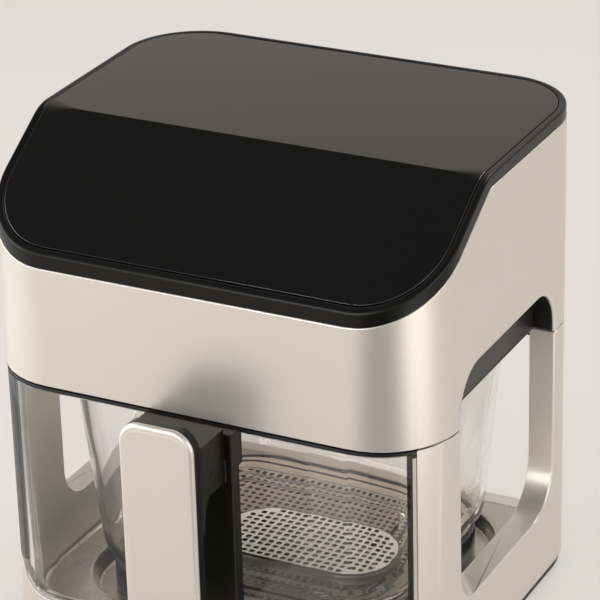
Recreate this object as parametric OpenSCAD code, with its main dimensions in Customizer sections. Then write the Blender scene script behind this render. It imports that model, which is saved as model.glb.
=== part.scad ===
// Countertop glass-vessel cooker: a heating head on a four-post frame, over a glass
// vessel that slides out to the front on its handle.
// +Z is up, -Y is the front, Z = 0 is the surface it stands on. Millimetres.

/* [Overall size] */
// Width across the side walls
body_w = 300; // [292:1:312]
// Depth from the front face to the back face, without the handle
body_d = 249; // [243:1:260]
// Radius of the four upright corners
corner_r = 50; // [46:1:54]
// Height of the joint between the lower frame and the head
part_z = 172; // [168:1:180]
// Height of the head above that joint, at the flat rear part
head_h = 143; // [138:1:150]
// Height of the head above that joint, at the front edge
head_front_h = 87; // [82:1:92]
// Distance from the front face back to the crease of the top
crease_back = 91; // [84:1:98]
// Radius of the bend along the crease
crease_r = 30; // [20:1:36]
// Visible gap at the joint between frame and head
seam = 1.2; // [0.8:0.1:1.6]

/* [Head shell] */
// Thickness of the metal skin
skin_t = 2; // [1.5:0.1:2.4]
// Height of the black bezel, square to the top surface
bezel_h = 8; // [7:0.5:9]
// Width of the bezel around the glass
bezel_w = 5; // [4:0.5:7]
// Thickness of the top glass
top_glass_t = 3; // [2.5:0.1:4]
// Width of the ledge that carries the top glass
ledge_w = 6; // [4:0.5:8]
// Thickness of the chassis plate and its window liners
chassis_t = 3; // [2:0.5:4]
// Width of the vent in the back
vent_w = 150; // [100:5:180]
// Height of the vent in the back
vent_h = 28; // [20:1:36]
// Number of slats in the vent
vent_slats = 5; // [3:1:6]
// Radius of the cord inlet's bushing
inlet_r = 11; // [9:0.5:13]

/* [Frame] */
// Thickness of the hollow side walls
wall_t = 17; // [15:0.5:19]
// Sheet thickness of the hollow side walls
sheet_t = 2.5; // [2:0.25:3]
// Height of the black plinth under the frame
plinth_h = 8; // [7:0.5:9]
// Height of the rubber feet
foot_h = 2; // [1.5:0.5:3]
// Radius of the rubber feet
foot_r = 9; // [7:0.5:11]
// Height of the front sill
sill_h = 22; // [20:0.5:24]
// Depth of the front and rear sills
sill_d = 12; // [11:0.5:12.5]
// Height of the tray floor and the rear sill
tray_h = 17; // [15:0.5:18]
// Corner radius of the front opening, and twice that of the rear one
open_r = 26; // [20:1:30]
// How much wider the front opening is than the room behind it, on each side
rebate_w = 4.2; // [3.6:0.2:5]
// Front edge of the side windows, behind the front face
window_front = 50; // [48:1:56]
// Rear edge of the side windows, ahead of the back face
window_rear = 56; // [55:1:68]
// Height of the side windows' lower edge
window_h = 52; // [48:1:60]
// Height of the side windows above the head joint
window_up = 33.5; // [28:0.5:38]
// Lower rear corner radius of the side windows
window_r = 32; // [24:1:36]
// Lower front corner radius of the side windows
window_front_r = 22; // [20:1:32]
// How far the side windows' front edge slants backwards through the wall
window_slant = 21; // [0:1:24]
// Width of the straight lip outside that slant
window_lip = 1.5; // [1:0.1:3]
// How much larger the slant's corner radius is than the lip's
window_soft = 1.3; // [1:0.1:1.6]
// Upper corner radius of the side windows
window_top_r = 27; // [20:1:30]

/* [Tray and hot plate] */
// Thickness of the tray's sheet
tray_t = 1.5; // [1.2:0.1:2]
// Distance of the recess in the tray from the side walls
recess_side = 19; // [16:1:22]
// Half depth of the recess in the tray
recess_b = 101; // [98:1:102]
// Corner radius of the recess
recess_r = 52; // [44:1:60]
// Depth of the recess
recess_d = 10; // [9:0.5:10.5]
// Distance of the hot plate from the sides of the recess
plate_side = 12; // [9:1:16]
// Half depth of the hot plate
plate_b = 91; // [88:1:93]
// Corner radius of the hot plate
plate_r = 50; // [44:1:54]
// Wall of the hot plate's housing
plate_wall = 4; // [3:0.5:5]
// Thickness of the perforated plates
perf_t = 1.5; // [1:0.1:2]
// Distance between the holes of the perforated plates
hole_pitch = 10.8; // [9:0.2:14]
// Side of the square holes
hole_side = 4.6; // [3.6:0.2:5.4]

/* [Vessel] */
// Distance of the vessel, just under its rim, from the side walls
vessel_side = 15; // [14:0.5:17]
// Half depth of the vessel just under its rim
vessel_b = 105; // [103:0.5:106]
// Corner radius of the vessel just under its rim
vessel_r = 54; // [50:1:58]
// How much narrower each side is at the foot
vessel_taper = 11; // [8:0.5:13]
// Radius between the vessel's wall and its floor
vessel_foot_r = 16; // [12:1:20]
// Glass thickness of the wall
glass_t = 4; // [3:0.5:5]
// Glass thickness of the floor
floor_t = 5; // [4:0.5:6]
// Thickness of the rim flange
flange_t = 2.8; // [2.4:0.1:3.2]
// How far the vessel's centre lies behind the body's centre
vessel_back = 4; // [3:0.5:4.5]
// Thickness of the curved front glass
pane_t = 6; // [5:0.5:7]
// Width of the gasket strip at each end of the front glass
gasket_w = 1.6; // [1:0.1:2]
// Distance of the perforated tray from the sides of the vessel's floor
tray_side = 43; // [36:1:50]
// Half depth of the perforated tray
tray_b = 33; // [31:1:40]
// Corner radius of the perforated tray
tray_r = 30; // [24:1:31]
// Height of the perforated tray's plate above the vessel's floor
tray_up = 4.5; // [3:0.5:8]
// How far the perforated tray's centre lies to the right of the body's centre
tray_right = 21; // [0:1:26]
// How far the perforated tray's centre lies behind the body's centre
tray_back = -15; // [-20:0.5:4]

/* [Handle] */
// Half width of the grip
grip_a = 24.5; // [22:0.5:26]
// Reach of the handle in front of the body
reach = 46; // [43:1:50]
// Height of the grip's top above the head joint
grip_up = 15; // [12:1:22]
// Height of the grip's lower end
grip_low = 34; // [30:1:50]
// Corner radius of the grip
grip_r = 14; // [10:0.5:18]
// Thickness of the black grip behind the face plate
grip_t = 7; // [6:0.5:8]
// Thickness of the metal face plate
face_t = 3.2; // [2.5:0.1:4]
// Half width of the back plate
back_a = 30.5; // [29:0.5:34]
// Thickness of the back plate
back_t = 9.2; // [8:0.2:11]
// Height of the ledge under the arm
ledge_h = 14; // [10:1:18]
// How far the ledge's top lies below the head joint
ledge_down = 18; // [16:1:22]

/* [Heating] */
// Wall thickness of the inner pod
pod_wall = 2; // [1.5:0.1:2.5]
// Height of the pod above the head joint
pod_h = 64; // [60:1:68]
// Half depth of the pod
pod_b = 114.5; // [112:0.5:115]
// Corner radius of the pod
pod_r = 50; // [46:1:54]
// Radius of the circulating fan
fan_r = 55; // [48:1:60]
// Height of the circulating fan's blades
fan_h = 15; // [12:1:18]
// Radius of the fan shaft
shaft_r = 3; // [2.5:0.5:4]
// Radius of the motor
motor_r = 29; // [24:1:32]
// Height of the motor
motor_h = 32; // [26:1:34]
// Radius of the heating tube
tube_r = 3.2; // [2.5:0.1:4]
// Radius of the outer turn of the upper heater
heater_r = 88; // [80:1:96]

/* [Clearances] */
// Gap between neighbouring fixed pieces
gap = 0.3; // [0.2:0.05:0.4]
// Gap between the sliding flange and what guides it
slide_gap = 0.3; // [0.2:0.05:0.5]
// Radial clearance of the running shaft
run_gap = 0.05; // [0.02:0.01:0.1]
// Radial clearance of screws in their holes
screw_gap = 0.1; // [0.05:0.05:0.3]
// Radius of the small screws
screw_r = 1.5; // [1.2:0.1:2]
// Radius of the frame bolts and handle screws
bolt_r = 2.1; // [1.8:0.1:2.5]

/* [Hidden] */

// Colours of the finishes
champagne = [0.84, 0.80, 0.74];
soft_black = [0.09, 0.09, 0.09];
glass_black = [0.05, 0.05, 0.05];
clear_glass = [0.82, 0.86, 0.86, 0.35];
bright_steel = [0.78, 0.77, 0.75];
board_green = [0.06, 0.25, 0.15];
rubber_grey = [0.12, 0.12, 0.12];
copper = [0.65, 0.40, 0.25];

// Steps of a quarter-round corner, and of a small one
quarter = 10;
small_quarter = 5;
// A length that runs well past the part it cuts
past = 20;

// Driving planes
half_w = body_w / 2;
half_d = body_d / 2;
roof_z = part_z + head_h;
front_roof_z = part_z + head_front_h;
crease_y = -half_d + crease_back;
slope = atan((head_h - head_front_h) / crease_back);
head_z = part_z + seam / 2;
frame_top = part_z - seam / 2;
inner_x = half_w - wall_t;
pane_r = corner_r - pane_t;
rebate_x = inner_x + rebate_w;
// Depth at which the front glass's ends clear the posts
rebate_y = -half_d + corner_r - sqrt(pow(pane_r, 2) - pow(rebate_x - half_w + corner_r, 2)) + 1;
window_y0 = -half_d + window_front;
window_y1 = half_d - window_rear;
// The handle stands out to the front, so the box's middle lies ahead of the body's
mid_y = reach / 2;

// Head chassis and pod
chassis_x = half_w - skin_t - gap;
pod_a = inner_x + 2.5;
pod_z = head_z + 0.4;
pod_top = part_z + pod_h;
ear_z = head_z + chassis_t + gap;
pod_back = vessel_back;
shield_z = pod_top - 5;
heater_z = part_z + 33;
grille_z = part_z + 9;
fan_z = part_z + 40;
motor_z = pod_top + 14;

// Legs of the upper heating tube
leg_x = 14;
leg_y = sqrt(heater_r * heater_r - leg_x * leg_x);
leg_r = tube_r - 0.5;

// Vessel
vessel_a = inner_x - vessel_side;
flange_top = head_z - 0.6 - slide_gap;
flange_z = flange_top - flange_t;
flange_a = inner_x - 0.6;
flange_b = pod_b - 3;
flange_r = pod_r + 2;
vessel_z = plinth_h + 21.5;
vessel_floor = vessel_z + floor_t;
tray_z = vessel_floor + tray_up;
tray_a = vessel_a - vessel_taper - glass_t - tray_side;
seal_z = flange_top + slide_gap;

// Base
recess_a = inner_x - recess_side;
plate_a = recess_a - plate_side;
recess_z = tray_h - recess_d;
plate_z = recess_z + gap;
plate_top = vessel_z - 0.6;
diffuser_z = plate_top - perf_t - 0.9;
pan_top = plinth_h - gap;
pan_floor = foot_h + 2;

// Front glass
pane_x = rebate_x - 0.5;
pane_c = open_r - 0.5;
pane_low = sill_h + 0.5;
pane_top = frame_top - 0.2;
pane_back = -half_d + pane_t;

// Handle
back_y0 = -half_d - gap - back_t;
back_y1 = -half_d - gap;
face_y0 = -half_d - reach;
grip_y0 = face_y0 + face_t;
grip_y1 = grip_y0 + grip_t;
arm_a = grip_a + 1.5;
arm_z = part_z + 3;
ledge_z1 = part_z - ledge_down;
ledge_z0 = ledge_z1 - ledge_h;
ledge_y0 = back_y0 - 19;
screw_z = ledge_z1 - 4;

// Points of an arc from angle a0 to a1
function arc(cx, cy, r, a0, a1, n) =
    [for (i = [0:n]) let (a = a0 + (a1 - a0) * i / n) [cx + r * cos(a), cy + r * sin(a)]];

// Rounded rectangle with half sizes a and b, corner radius r, centred at [0, cy]
function rrect(a, b, r, cy = 0, n = quarter) = concat(
    arc(a - r, cy + b - r, r, 0, 90, n), arc(-a + r, cy + b - r, r, 90, 180, n),
    arc(-a + r, cy - b + r, r, 180, 270, n), arc(a - r, cy - b + r, r, 270, 360, n));

// Outline of the body, moved inwards
function outline(inset) = rrect(half_w - inset, half_d - inset, corner_r - inset);

// Height of the flat top, and the sloped front, at a depth d under the top surface,
// as a side outline from y0 to y1 that closes at height z0
function roof(d, y0, y1, z0) =
    let (cy = crease_y + crease_r * tan(slope / 2),
         cz = roof_z - crease_r,
         bend = arc(cy, cz, crease_r - d, 90, 90 + slope, small_quarter),
         last = bend[small_quarter])
    concat([[y1, z0], [y1, roof_z - d]], bend,
           [[y0, last[1] - (last[0] - y0) * tan(slope)], [y0, z0]]);

module at_body() translate([0, mid_y, 0]) children();

// Upright prism of an outline
module upright(points, z0, z1) translate([0, 0, z0]) linear_extrude(z1 - z0) polygon(points);

// Prism of a side outline [y, z], from x0 to x1
module sideways(points, x0, x1)
    translate([x0, 0, 0]) rotate([90, 0, 90]) linear_extrude(x1 - x0) polygon(points);

// Prism of a front outline [x, z], from y0 to y1
module lengthways(points, y0, y1)
    translate([0, y1, 0]) rotate([90, 0, 0]) linear_extrude(y1 - y0) polygon(points);

// Upright cylinder from z0 to z1
module post(x, y, z0, z1, r) translate([x, y, z0]) cylinder(h = z1 - z0, r = r, $fn = 48);

module box(x0, x1, y0, y1, z0, z1)
    translate([x0, y0, z0]) cube([x1 - x0, y1 - y0, z1 - z0]);

// Mirrored copy on the other side
module both_sides() {
    children();
    mirror([1, 0, 0]) children();
}

// Side outline of a window, grown outwards by g, made longer to the back, and with
// its corners rounded more by soft
function window(g, longer = 0, soft = 0) =
    let (y0 = window_y0 - g, y1 = window_y1 + g + longer, z0 = window_h - g,
         z1 = part_z + window_up + g, r = window_r + g + soft,
         f = window_front_r + g + soft, t = window_top_r + g + soft)
    concat(arc(y1 - t, z1 - t, t, 0, 90, quarter), arc(y0 + t, z1 - t, t, 90, 180, quarter),
           arc(y0 + f, z0 + f, f, 180, 270, quarter), arc(y1 - r, z0 + r, r, 270, 360, quarter));

// Front outline of an opening of half width a that is open at the top
function opening(a, z0, r) = concat(
    [[a, part_z + past], [-a, part_z + past]],
    arc(-a + r, z0 + r, r, 180, 270, quarter), arc(a - r, z0 + r, r, 270, 360, quarter));

// Side window through the right wall, grown by g, with its front edge slanting backwards:
// a straight cut that a slanting one, longer to the back, also covers
module slanted_window(g) intersection() {
    turn = atan(window_slant / wall_t);
    sideways(window(g), 0, half_w + 1);
    translate([half_w - window_lip, 0, 0]) rotate([0, 0, -turn])
        sideways([for (p = window(g, window_slant + past, window_soft)) [p[0] * cos(turn), p[1]]],
                 -body_w, body_w);
}

// Room inside the frame, for the tray and the vessel
module frame_room(g) intersection() {
    upright(outline(sill_d + g), -1, part_z + past);
    box(-inner_x + g, inner_x - g, -half_d, half_d, -1, part_z + past);
}

// Positions of repeated parts
frame_bolt_xy = [for (x = [-1, 1]) for (y = [window_y0 - 11, window_y1 + 15])
                 [x * (half_w - wall_t / 2 - 1), y]];
// Corner centres and directions of the pod's four ears, and their screws
pod_ears = [for (x = [-1, 1]) for (y = [-1, 1])
            [x * (pod_a - pod_r), pod_back + y * (pod_b - pod_r), atan2(y, x)]];
ear_l = 9.5;
pod_ear_xy = [for (p = pod_ears) [p[0] + (pod_r + ear_l / 2) * cos(p[2]),
                                  p[1] + (pod_r + ear_l / 2) * sin(p[2])]];
base_screw_xy = [for (x = [-1, 1]) for (y = [-half_d + sill_d - 3, half_d - sill_d + 3])
                 [x * 92, y]];
foot_xy = [for (x = [-1, 1]) for (y = [-1, 1])
           [x * (half_w - corner_r + 18), y * (half_d - corner_r + 18)]];
grille_screw_xy = [for (x = [-1, 1]) for (y = [-1, 1])
                   [x * (pod_a - 26), pod_back + y * (pod_b - 26)]];
clip_angles = [45, 135, 225, 315];

// ---------------------------------------------------------------- head

module head_shell() at_body() color(champagne) difference() {
    intersection() {
        upright(outline(0), head_z, roof_z + 1);
        sideways(roof(bezel_h, -half_d - 1, half_d + 1, head_z - 1), -half_w - 1, half_w + 1);
    }
    upright(outline(skin_t), head_z - 1, roof_z + 1);
    sideways(window(0), -half_w - 1, half_w + 1);
    box(-vent_w / 2, vent_w / 2, half_d - past, half_d + 1, vent_z0, vent_z0 + vent_h);
    translate([-inlet_x, half_d + 1, inlet_z]) rotate([90, 0, 0])
        cylinder(h = past, r = inlet_r - 2 + screw_gap, $fn = 48);
}
vent_z0 = roof_z - bezel_h - 18 - vent_h;
inlet_x = half_w - corner_r - 12;
inlet_z = pod_top + 14;

// Ring plate at the foot of the head, with a liner over each side window
module head_chassis() at_body() color(soft_black) difference() {
    union() {
        difference() {
            upright(outline(skin_t + gap), head_z + 0.3, head_z + chassis_t);
            sideways(window(0), -half_w, half_w);
        }
        both_sides() intersection() {
            sideways(window(2), pod_a + gap, chassis_x);
            box(pod_a, half_w, -half_d, half_d, head_z + 0.3, roof_z);
        }
        for (p = frame_bolt_xy) post(p[0], p[1], head_z + 0.3, head_z + 14, 5);
    }
    upright(rrect(pod_a + gap, pod_b + gap, pod_r + gap, pod_back), head_z - 1, roof_z);
    both_sides() sideways(window(0), pod_a - 1, half_w);
    for (p = frame_bolt_xy) post(p[0], p[1], head_z - 1, head_z + 12, bolt_r + screw_gap);
    for (p = pod_ear_xy) post(p[0], p[1], head_z - 1, head_z + past, screw_r + screw_gap);
    post(harness_x, harness_y, head_z - 1, head_z + past, 2.6);
}

module inner_pod() at_body() color(soft_black) difference() {
    union() {
        upright(rrect(pod_a, pod_b, pod_r, pod_back), pod_z, pod_top);
        for (p = pod_ears) translate([p[0], p[1], 0]) rotate([0, 0, p[2]])
            box(pod_r - 1.5, pod_r + ear_l, -7, 7, ear_z, ear_z + 2.4);
    }
    upright(rrect(pod_a - pod_wall, pod_b - pod_wall, pod_r - pod_wall, pod_back),
            pod_z - 1, pod_top - pod_wall);
    for (p = pod_ear_xy) post(p[0], p[1], ear_z - 1, ear_z + past, screw_r + screw_gap);
    post(0, pod_back, pod_z, pod_top + 1, 8);
    for (x = [-1, 1]) post(x * leg_x, pod_back + leg_y, pod_z, pod_top + 1, leg_r + gap);
    for (a = clip_angles)
        post(heater_r * cos(a), pod_back + heater_r * sin(a), pod_z, pod_top + 1, 2 + screw_gap);
    for (p = motor_foot_xy) post(p[0], p[1], pod_z, pod_top + 1, screw_r + screw_gap);
}
motor_foot_xy = [for (x = [-1, 1]) for (y = [-1, 1]) [x * (motor_r + 8), pod_back + y * 14]];

module pod_screws() at_body() color(bright_steel) for (p = pod_ear_xy) {
    post(p[0], p[1], head_z + 0.4, ear_z + 2.5, screw_r);
    post(p[0], p[1], ear_z + 2.4, ear_z + 4.4, screw_r * 2);
}

module vessel_seal() at_body() color(rubber_grey) difference() {
    upright(rrect(pod_a, pod_b, pod_r, pod_back), seal_z, pod_z);
    upright(rrect(pod_a - 5, pod_b - 5, pod_r - 5, pod_back), seal_z - 1, pod_z + 1);
}

// Bent frame around the top glass, with a ledge under the glass
module top_bezel() at_body() color(soft_black) difference() {
    intersection() {
        upright(outline(0.4), head_z, roof_z + 1);
        sideways(roof(0, -half_d - 1, half_d + 1, head_z), -half_w, half_w);
    }
    sideways(roof(bezel_h - 0.1, -half_d - 2, half_d + 2, 0), -half_w - 1, half_w + 1);
    intersection() {
        upright(outline(bezel_w), head_z, roof_z + past);
        sideways(concat([[half_d, roof_z + past]],
                        [for (p = roof(top_glass_t + gap, -half_d, half_d, 0))
                         if (p[1] > 0) p], [[-half_d, roof_z + past]]), -half_w, half_w);
    }
    upright(outline(bezel_w + ledge_w), 0, roof_z + 1);
}

module top_glass() at_body() color(glass_black) difference() {
    intersection() {
        upright(outline(bezel_w + gap), head_z, roof_z + 1);
        sideways(roof(0.2, -half_d - 1, half_d + 1, head_z), -half_w, half_w);
    }
    sideways(roof(top_glass_t, -half_d - 2, half_d + 2, 0), -half_w - 1, half_w + 1);
}

// Places a flat piece under the sloped glass: u along the slope from the front edge,
// d below the outer surface
module on_slope(u, d) translate([0, -half_d, front_roof_z]) rotate([slope, 0, 0])
    translate([0, u, -d]) children();

board_depth = 14;
board_t = 1.6;
board_w = 190;
board_l = 56;
display_w = 96;
display_l = 34;
module display_board() at_body() color(board_green) on_slope(22, board_depth)
    translate([-board_w / 2, 0, -board_t]) cube([board_w, board_l, board_t]);

module display_module() at_body() color(glass_black)
on_slope(22 + (board_l - display_l) / 2, board_depth)
    translate([-display_w / 2, 0, 0]) cube([display_w, display_l, board_depth - top_glass_t - gap]);

// The power board lies beside the heater's legs, over the rear left of the pod
power_w = 100;
power_l = 52;
power_x = -leg_x - leg_r - 4 - power_w / 2;
power_y = window_y1 + 4;
module power_board() at_body() {
    color(board_green) box(power_x - power_w / 2, power_x + power_w / 2,
                           power_y - power_l / 2, power_y + power_l / 2, pop_z, pop_z + board_t);
    color(bright_steel) for (x = [-1, 1]) for (y = [-1, 1])
        post(power_x + x * (power_w / 2 - 6), power_y + y * (power_l / 2 - 5), pod_top, pop_z, 2.5);
}
pop_z = pod_top + 6;

module power_parts() at_body() translate([power_x, power_y + 4, pop_z + board_t]) {
    color("royalblue") translate([-40, -24, 0]) cube([24, 20, 18]);
    color("gold") translate([-8, -22, 0]) cube([28, 24, 22]);
    color("dimgray") for (x = [28, 40]) translate([x, -12, 0]) cylinder(h = 22, r = 5.5, $fn = 40);
    color("black") translate([-38, 4, 0]) cube([30, 12, 10]);
    color("white") translate([4, 8, 0]) cube([36, 9, 9]);
}

module heat_shield() at_body() color(bright_steel) difference() {
    upright(rrect(pod_a - pod_wall - 1, pod_b - pod_wall - 1, pod_r - pod_wall - 1, pod_back),
            shield_z, shield_z + 1);
    post(0, pod_back, shield_z - 1, shield_z + 2, 8);
    for (x = [-1, 1]) post(x * leg_x, pod_back + leg_y, shield_z - 1, shield_z + 2, leg_r + gap);
    for (a = clip_angles)
        post(heater_r * cos(a), pod_back + heater_r * sin(a), shield_z - 1, shield_z + 2,
             2 + screw_gap);
}

// Two turns of heating tube, with two legs up through the pod's roof
module heater_ring() at_body() color(bright_steel) translate([0, pod_back, 0]) {
    difference() {
        translate([0, 0, heater_z]) rotate_extrude($fn = 72) translate([heater_r, 0])
            circle(r = tube_r, $fn = 24);
        box(-leg_x + 2, leg_x - 2, heater_r - past, heater_r + past, heater_z - past,
            heater_z + past);
    }
    translate([0, 0, heater_z]) rotate_extrude($fn = 72) translate([heater_r - 16, 0])
        circle(r = tube_r, $fn = 24);
    translate([0, -heater_r - 1, heater_z]) rotate([-90, 0, 0])
        cylinder(h = 17, r = tube_r * 0.8, $fn = 24);
    for (x = [-1, 1]) post(x * leg_x, leg_y, heater_z - 0.5, pod_top + 10, leg_r);
}

module heater_clips() at_body() color(bright_steel) for (a = clip_angles) {
    x = heater_r * cos(a);
    y = pod_back + heater_r * sin(a);
    post(x, y, heater_z + tube_r + 0.1, pod_top + 0.5, 2);
    post(x, y, pod_top, pod_top + 2, 4);
    translate([0, pod_back, 0]) rotate([0, 0, a])
        box(heater_r - 20, heater_r + 4, -3, 3, heater_z + tube_r + 0.1, heater_z + tube_r + 1.3);
}

module fan_motor() at_body() color("silver") difference() {
    union() {
        post(0, pod_back, motor_z, motor_z + motor_h, motor_r);
        post(0, pod_back, motor_z + motor_h, motor_z + motor_h + 5, 8);
        post(0, pod_back, motor_z - 3, motor_z, 9);
    }
    post(0, pod_back, motor_z - 4, motor_z + motor_h + 6, shaft_r + run_gap);
}

// Bridge that carries the motor above the pod's roof
module motor_bracket() at_body() color(bright_steel) difference() {
    union() {
        box(-motor_r - 14, motor_r + 14, pod_back - 20, pod_back + 20, motor_z - 2, motor_z);
        both_sides() box(motor_r + 12, motor_r + 14, pod_back - 20, pod_back + 20,
                         pod_top, motor_z);
        both_sides() box(motor_r + 3, motor_r + 14, pod_back - 20, pod_back + 20,
                         pod_top, pod_top + 2);
    }
    post(0, pod_back, motor_z - 5, motor_z + 1, 9 + screw_gap);
    for (p = motor_foot_xy) post(p[0], p[1], pod_top - 1, pod_top + 4, screw_r + screw_gap);
}

// Round grille of rings and bars under the fan
module guard_grille() at_body() color(bright_steel) translate([0, pod_back, grille_z])
linear_extrude(1.2) difference() {
    union() {
        difference() {
            polygon(rrect(pod_a - pod_wall - 0.6, pod_b - pod_wall - 0.6,
                          pod_r - pod_wall - 0.6));
            circle(r = heater_r + 8, $fn = 96);
        }
        for (r = [18:14:heater_r + 2]) difference() {
            circle(r = r + 1.6, $fn = 72);
            circle(r = r - 1.6, $fn = 72);
        }
        for (a = [0, 60, 120]) rotate(a) square([(heater_r + 9) * 2, 3], center = true);
        circle(r = 8, $fn = 48);
    }
    for (p = grille_screw_xy) translate([p[0], p[1] - pod_back])
        circle(r = screw_r + screw_gap, $fn = 32);
}

// Long screws hang the grille from the pod's roof
module grille_screws() at_body() color(bright_steel) for (p = grille_screw_xy) {
    post(p[0], p[1], grille_z, shield_z, screw_r);
    post(p[0], p[1], grille_z - 2, grille_z, screw_r * 2);
}

module thermal_cutout() at_body() color("black") {
    post(54, pod_back - 40, pod_top, pod_top + 9, 8);
    box(46, 62, pod_back - 43, pod_back - 37, pod_top + 9, pod_top + 12);
}

module temperature_probe() at_body() color(bright_steel)
translate([40, pod_back + pod_b - pod_wall - gap, part_z + 20]) rotate([90, 0, 0]) {
    cylinder(h = 34, r = 2, $fn = 32);
    cylinder(h = 3, r = 5, $fn = 6);
}

module reed_switch() at_body() color("white")
    box(4, 20, -half_d + skin_t + 1, -half_d + skin_t + 7, head_z + chassis_t, head_z + chassis_t + 8);

module rear_vent() at_body() color(soft_black) {
    difference() {
        box(-vent_w / 2 + gap, vent_w / 2 - gap, half_d - 5, half_d - 0.2,
            vent_z0 + gap, vent_z0 + vent_h - gap);
        box(-vent_w / 2 + 4, vent_w / 2 - 4, half_d - 6, half_d + 1,
            vent_z0 + 4, vent_z0 + vent_h - 4);
    }
    for (i = [1:vent_slats]) {
        z = vent_z0 + 4 + (vent_h - 8) * i / (vent_slats + 1);
        translate([-vent_w / 2 + 3, half_d - 4.6, z - 0.9]) rotate([18, 0, 0])
            cube([vent_w - 6, 3.6, 1.6]);
    }
    for (x = [-1, 0, 1]) box(x * vent_w / 4 - 1, x * vent_w / 4 + 1, half_d - 4.4, half_d - 1.6,
                             vent_z0 + 3, vent_z0 + vent_h - 3);
}

// Bushing through which a supply cord would enter
module cord_inlet() at_body() color(soft_black)
translate([-inlet_x, half_d, inlet_z]) rotate([90, 0, 0]) difference() {
    union() {
        translate([0, 0, 0.1]) cylinder(h = 8, r = inlet_r - 2, $fn = 48);
        translate([0, 0, skin_t + 0.1]) cylinder(h = 3, r = inlet_r, $fn = 48);
    }
    translate([0, 0, -1]) cylinder(h = 12, r = 4, $fn = 40);
}

// ---------------------------------------------------------------- lower frame

module lower_frame() at_body() color(champagne) difference() {
    upright(outline(0), plinth_h, frame_top);
    lengthways(opening(rebate_x, sill_h, open_r), -half_d - 1, rebate_y);
    lengthways(opening(inner_x, sill_h, open_r - rebate_w), rebate_y - 1, 0);
    lengthways(opening(inner_x, tray_h, open_r / 2), 0, half_d + 1);
    frame_room(0);
    both_sides() slanted_window(0);
    both_sides() frame_cavity();
    for (p = frame_bolt_xy) post(p[0], p[1], frame_top - 10, frame_top + 1, bolt_r + screw_gap);
    for (p = base_screw_xy) post(p[0], p[1], plinth_h - 1, tray_h - 2.5, screw_r + screw_gap);
    translate([inner_x - 1, harness_y, plinth_h + 3.4]) rotate([0, 90, 0])
        cylinder(h = sheet_t + 2, r = 3, $fn = 32);
    post(harness_x, harness_y, frame_top - past, frame_top + 1, 3);
}

// Hollow of one side wall, open at the bottom
module frame_cavity() difference() {
    intersection() {
        upright(outline(sheet_t), plinth_h - 1, frame_top - sheet_t);
        box(inner_x + sheet_t, half_w, -half_d, half_d - sheet_t, 0, part_z);
    }
    box(0, rebate_x + sheet_t, -half_d, rebate_y + sheet_t, 0, part_z);
    slanted_window(sheet_t);
}
harness_x = half_w - wall_t / 2;
harness_y = window_y1 + 6.5;

module frame_bolts() at_body() color(bright_steel) for (p = frame_bolt_xy) {
    post(p[0], p[1], frame_top - sheet_t - 0.1, head_z + 11, bolt_r);
    post(p[0], p[1], frame_top - sheet_t - 3, frame_top - sheet_t - 0.1, bolt_r * 1.7);
}

// Tray floor with a pressed recess
module base_tray() at_body() color(champagne) difference() {
    union() {
        intersection() {
            frame_room(gap);
            box(-half_w, half_w, -half_d, half_d, tray_h - tray_t, tray_h);
        }
        upright(rrect(recess_a + tray_t, recess_b + tray_t, recess_r + tray_t, vessel_back),
                recess_z - tray_t, tray_h - tray_t / 2);
    }
    upright(rrect(recess_a, recess_b, recess_r, vessel_back), recess_z, tray_h + 1);
    post(0, vessel_back, 0, tray_h, 4);
}

module base_pan() at_body() color(soft_black) difference() {
    union() {
        difference() {
            upright(outline(1.6), foot_h, pan_top);
            upright(outline(4), pan_floor, plinth_h + 1);
        }
        for (p = base_screw_xy) post(p[0], p[1], foot_h, pan_top, 5.5);
    }
    for (p = base_screw_xy) {
        post(p[0], p[1], 0, plinth_h, screw_r + screw_gap);
        post(p[0], p[1], 0, foot_h + 2.2, screw_r * 1.9 + screw_gap);
    }
}

module base_screws() at_body() color(bright_steel) for (p = base_screw_xy) {
    post(p[0], p[1], foot_h + 1, tray_h - 3, screw_r);
    post(p[0], p[1], foot_h + 0.4, foot_h + 2.1, screw_r * 1.9);
}

module feet() at_body() color(rubber_grey) for (p = foot_xy) {
    post(p[0], p[1], 0, foot_h, foot_r);
}

module hot_plate_housing() at_body() color(soft_black) difference() {
    upright(rrect(plate_a, plate_b, plate_r, vessel_back), plate_z, plate_top);
    upright(rrect(plate_a - plate_wall * 2, plate_b - plate_wall * 2,
                  plate_r - plate_wall * 2, vessel_back), plate_z + 2, plate_top + 1);
    upright(rrect(plate_a - plate_wall, plate_b - plate_wall, plate_r - plate_wall,
                  vessel_back), diffuser_z - gap, plate_top + 1);
    post(0, vessel_back, 0, plate_z + 3, 4);
}

// Plate with a square grid of holes that stay inside a margin
module perforated(a, b, r, margin) difference() {
    polygon(rrect(a, b, r));
    for (x = [0:hole_pitch:a]) for (y = [0:hole_pitch:b])
        if (holds(x + hole_side / 2, y + hole_side / 2, a - margin, b - margin, r - margin))
            for (sx = (x > 0) ? [-1, 1] : [1]) for (sy = (y > 0) ? [-1, 1] : [1])
                translate([sx * x, sy * y]) square(hole_side, center = true);
}

// Whether a point of the first quadrant lies inside a rounded rectangle
function holds(x, y, a, b, r) = x < a && y < b &&
    (x < a - r || y < b - r || norm([x - a + r, y - b + r]) < r);

module diffuser_plate() at_body() color(bright_steel)
translate([0, vessel_back, diffuser_z]) linear_extrude(perf_t)
    perforated(plate_a - plate_wall - gap, plate_b - plate_wall - gap,
               plate_r - plate_wall - gap, 5);

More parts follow.
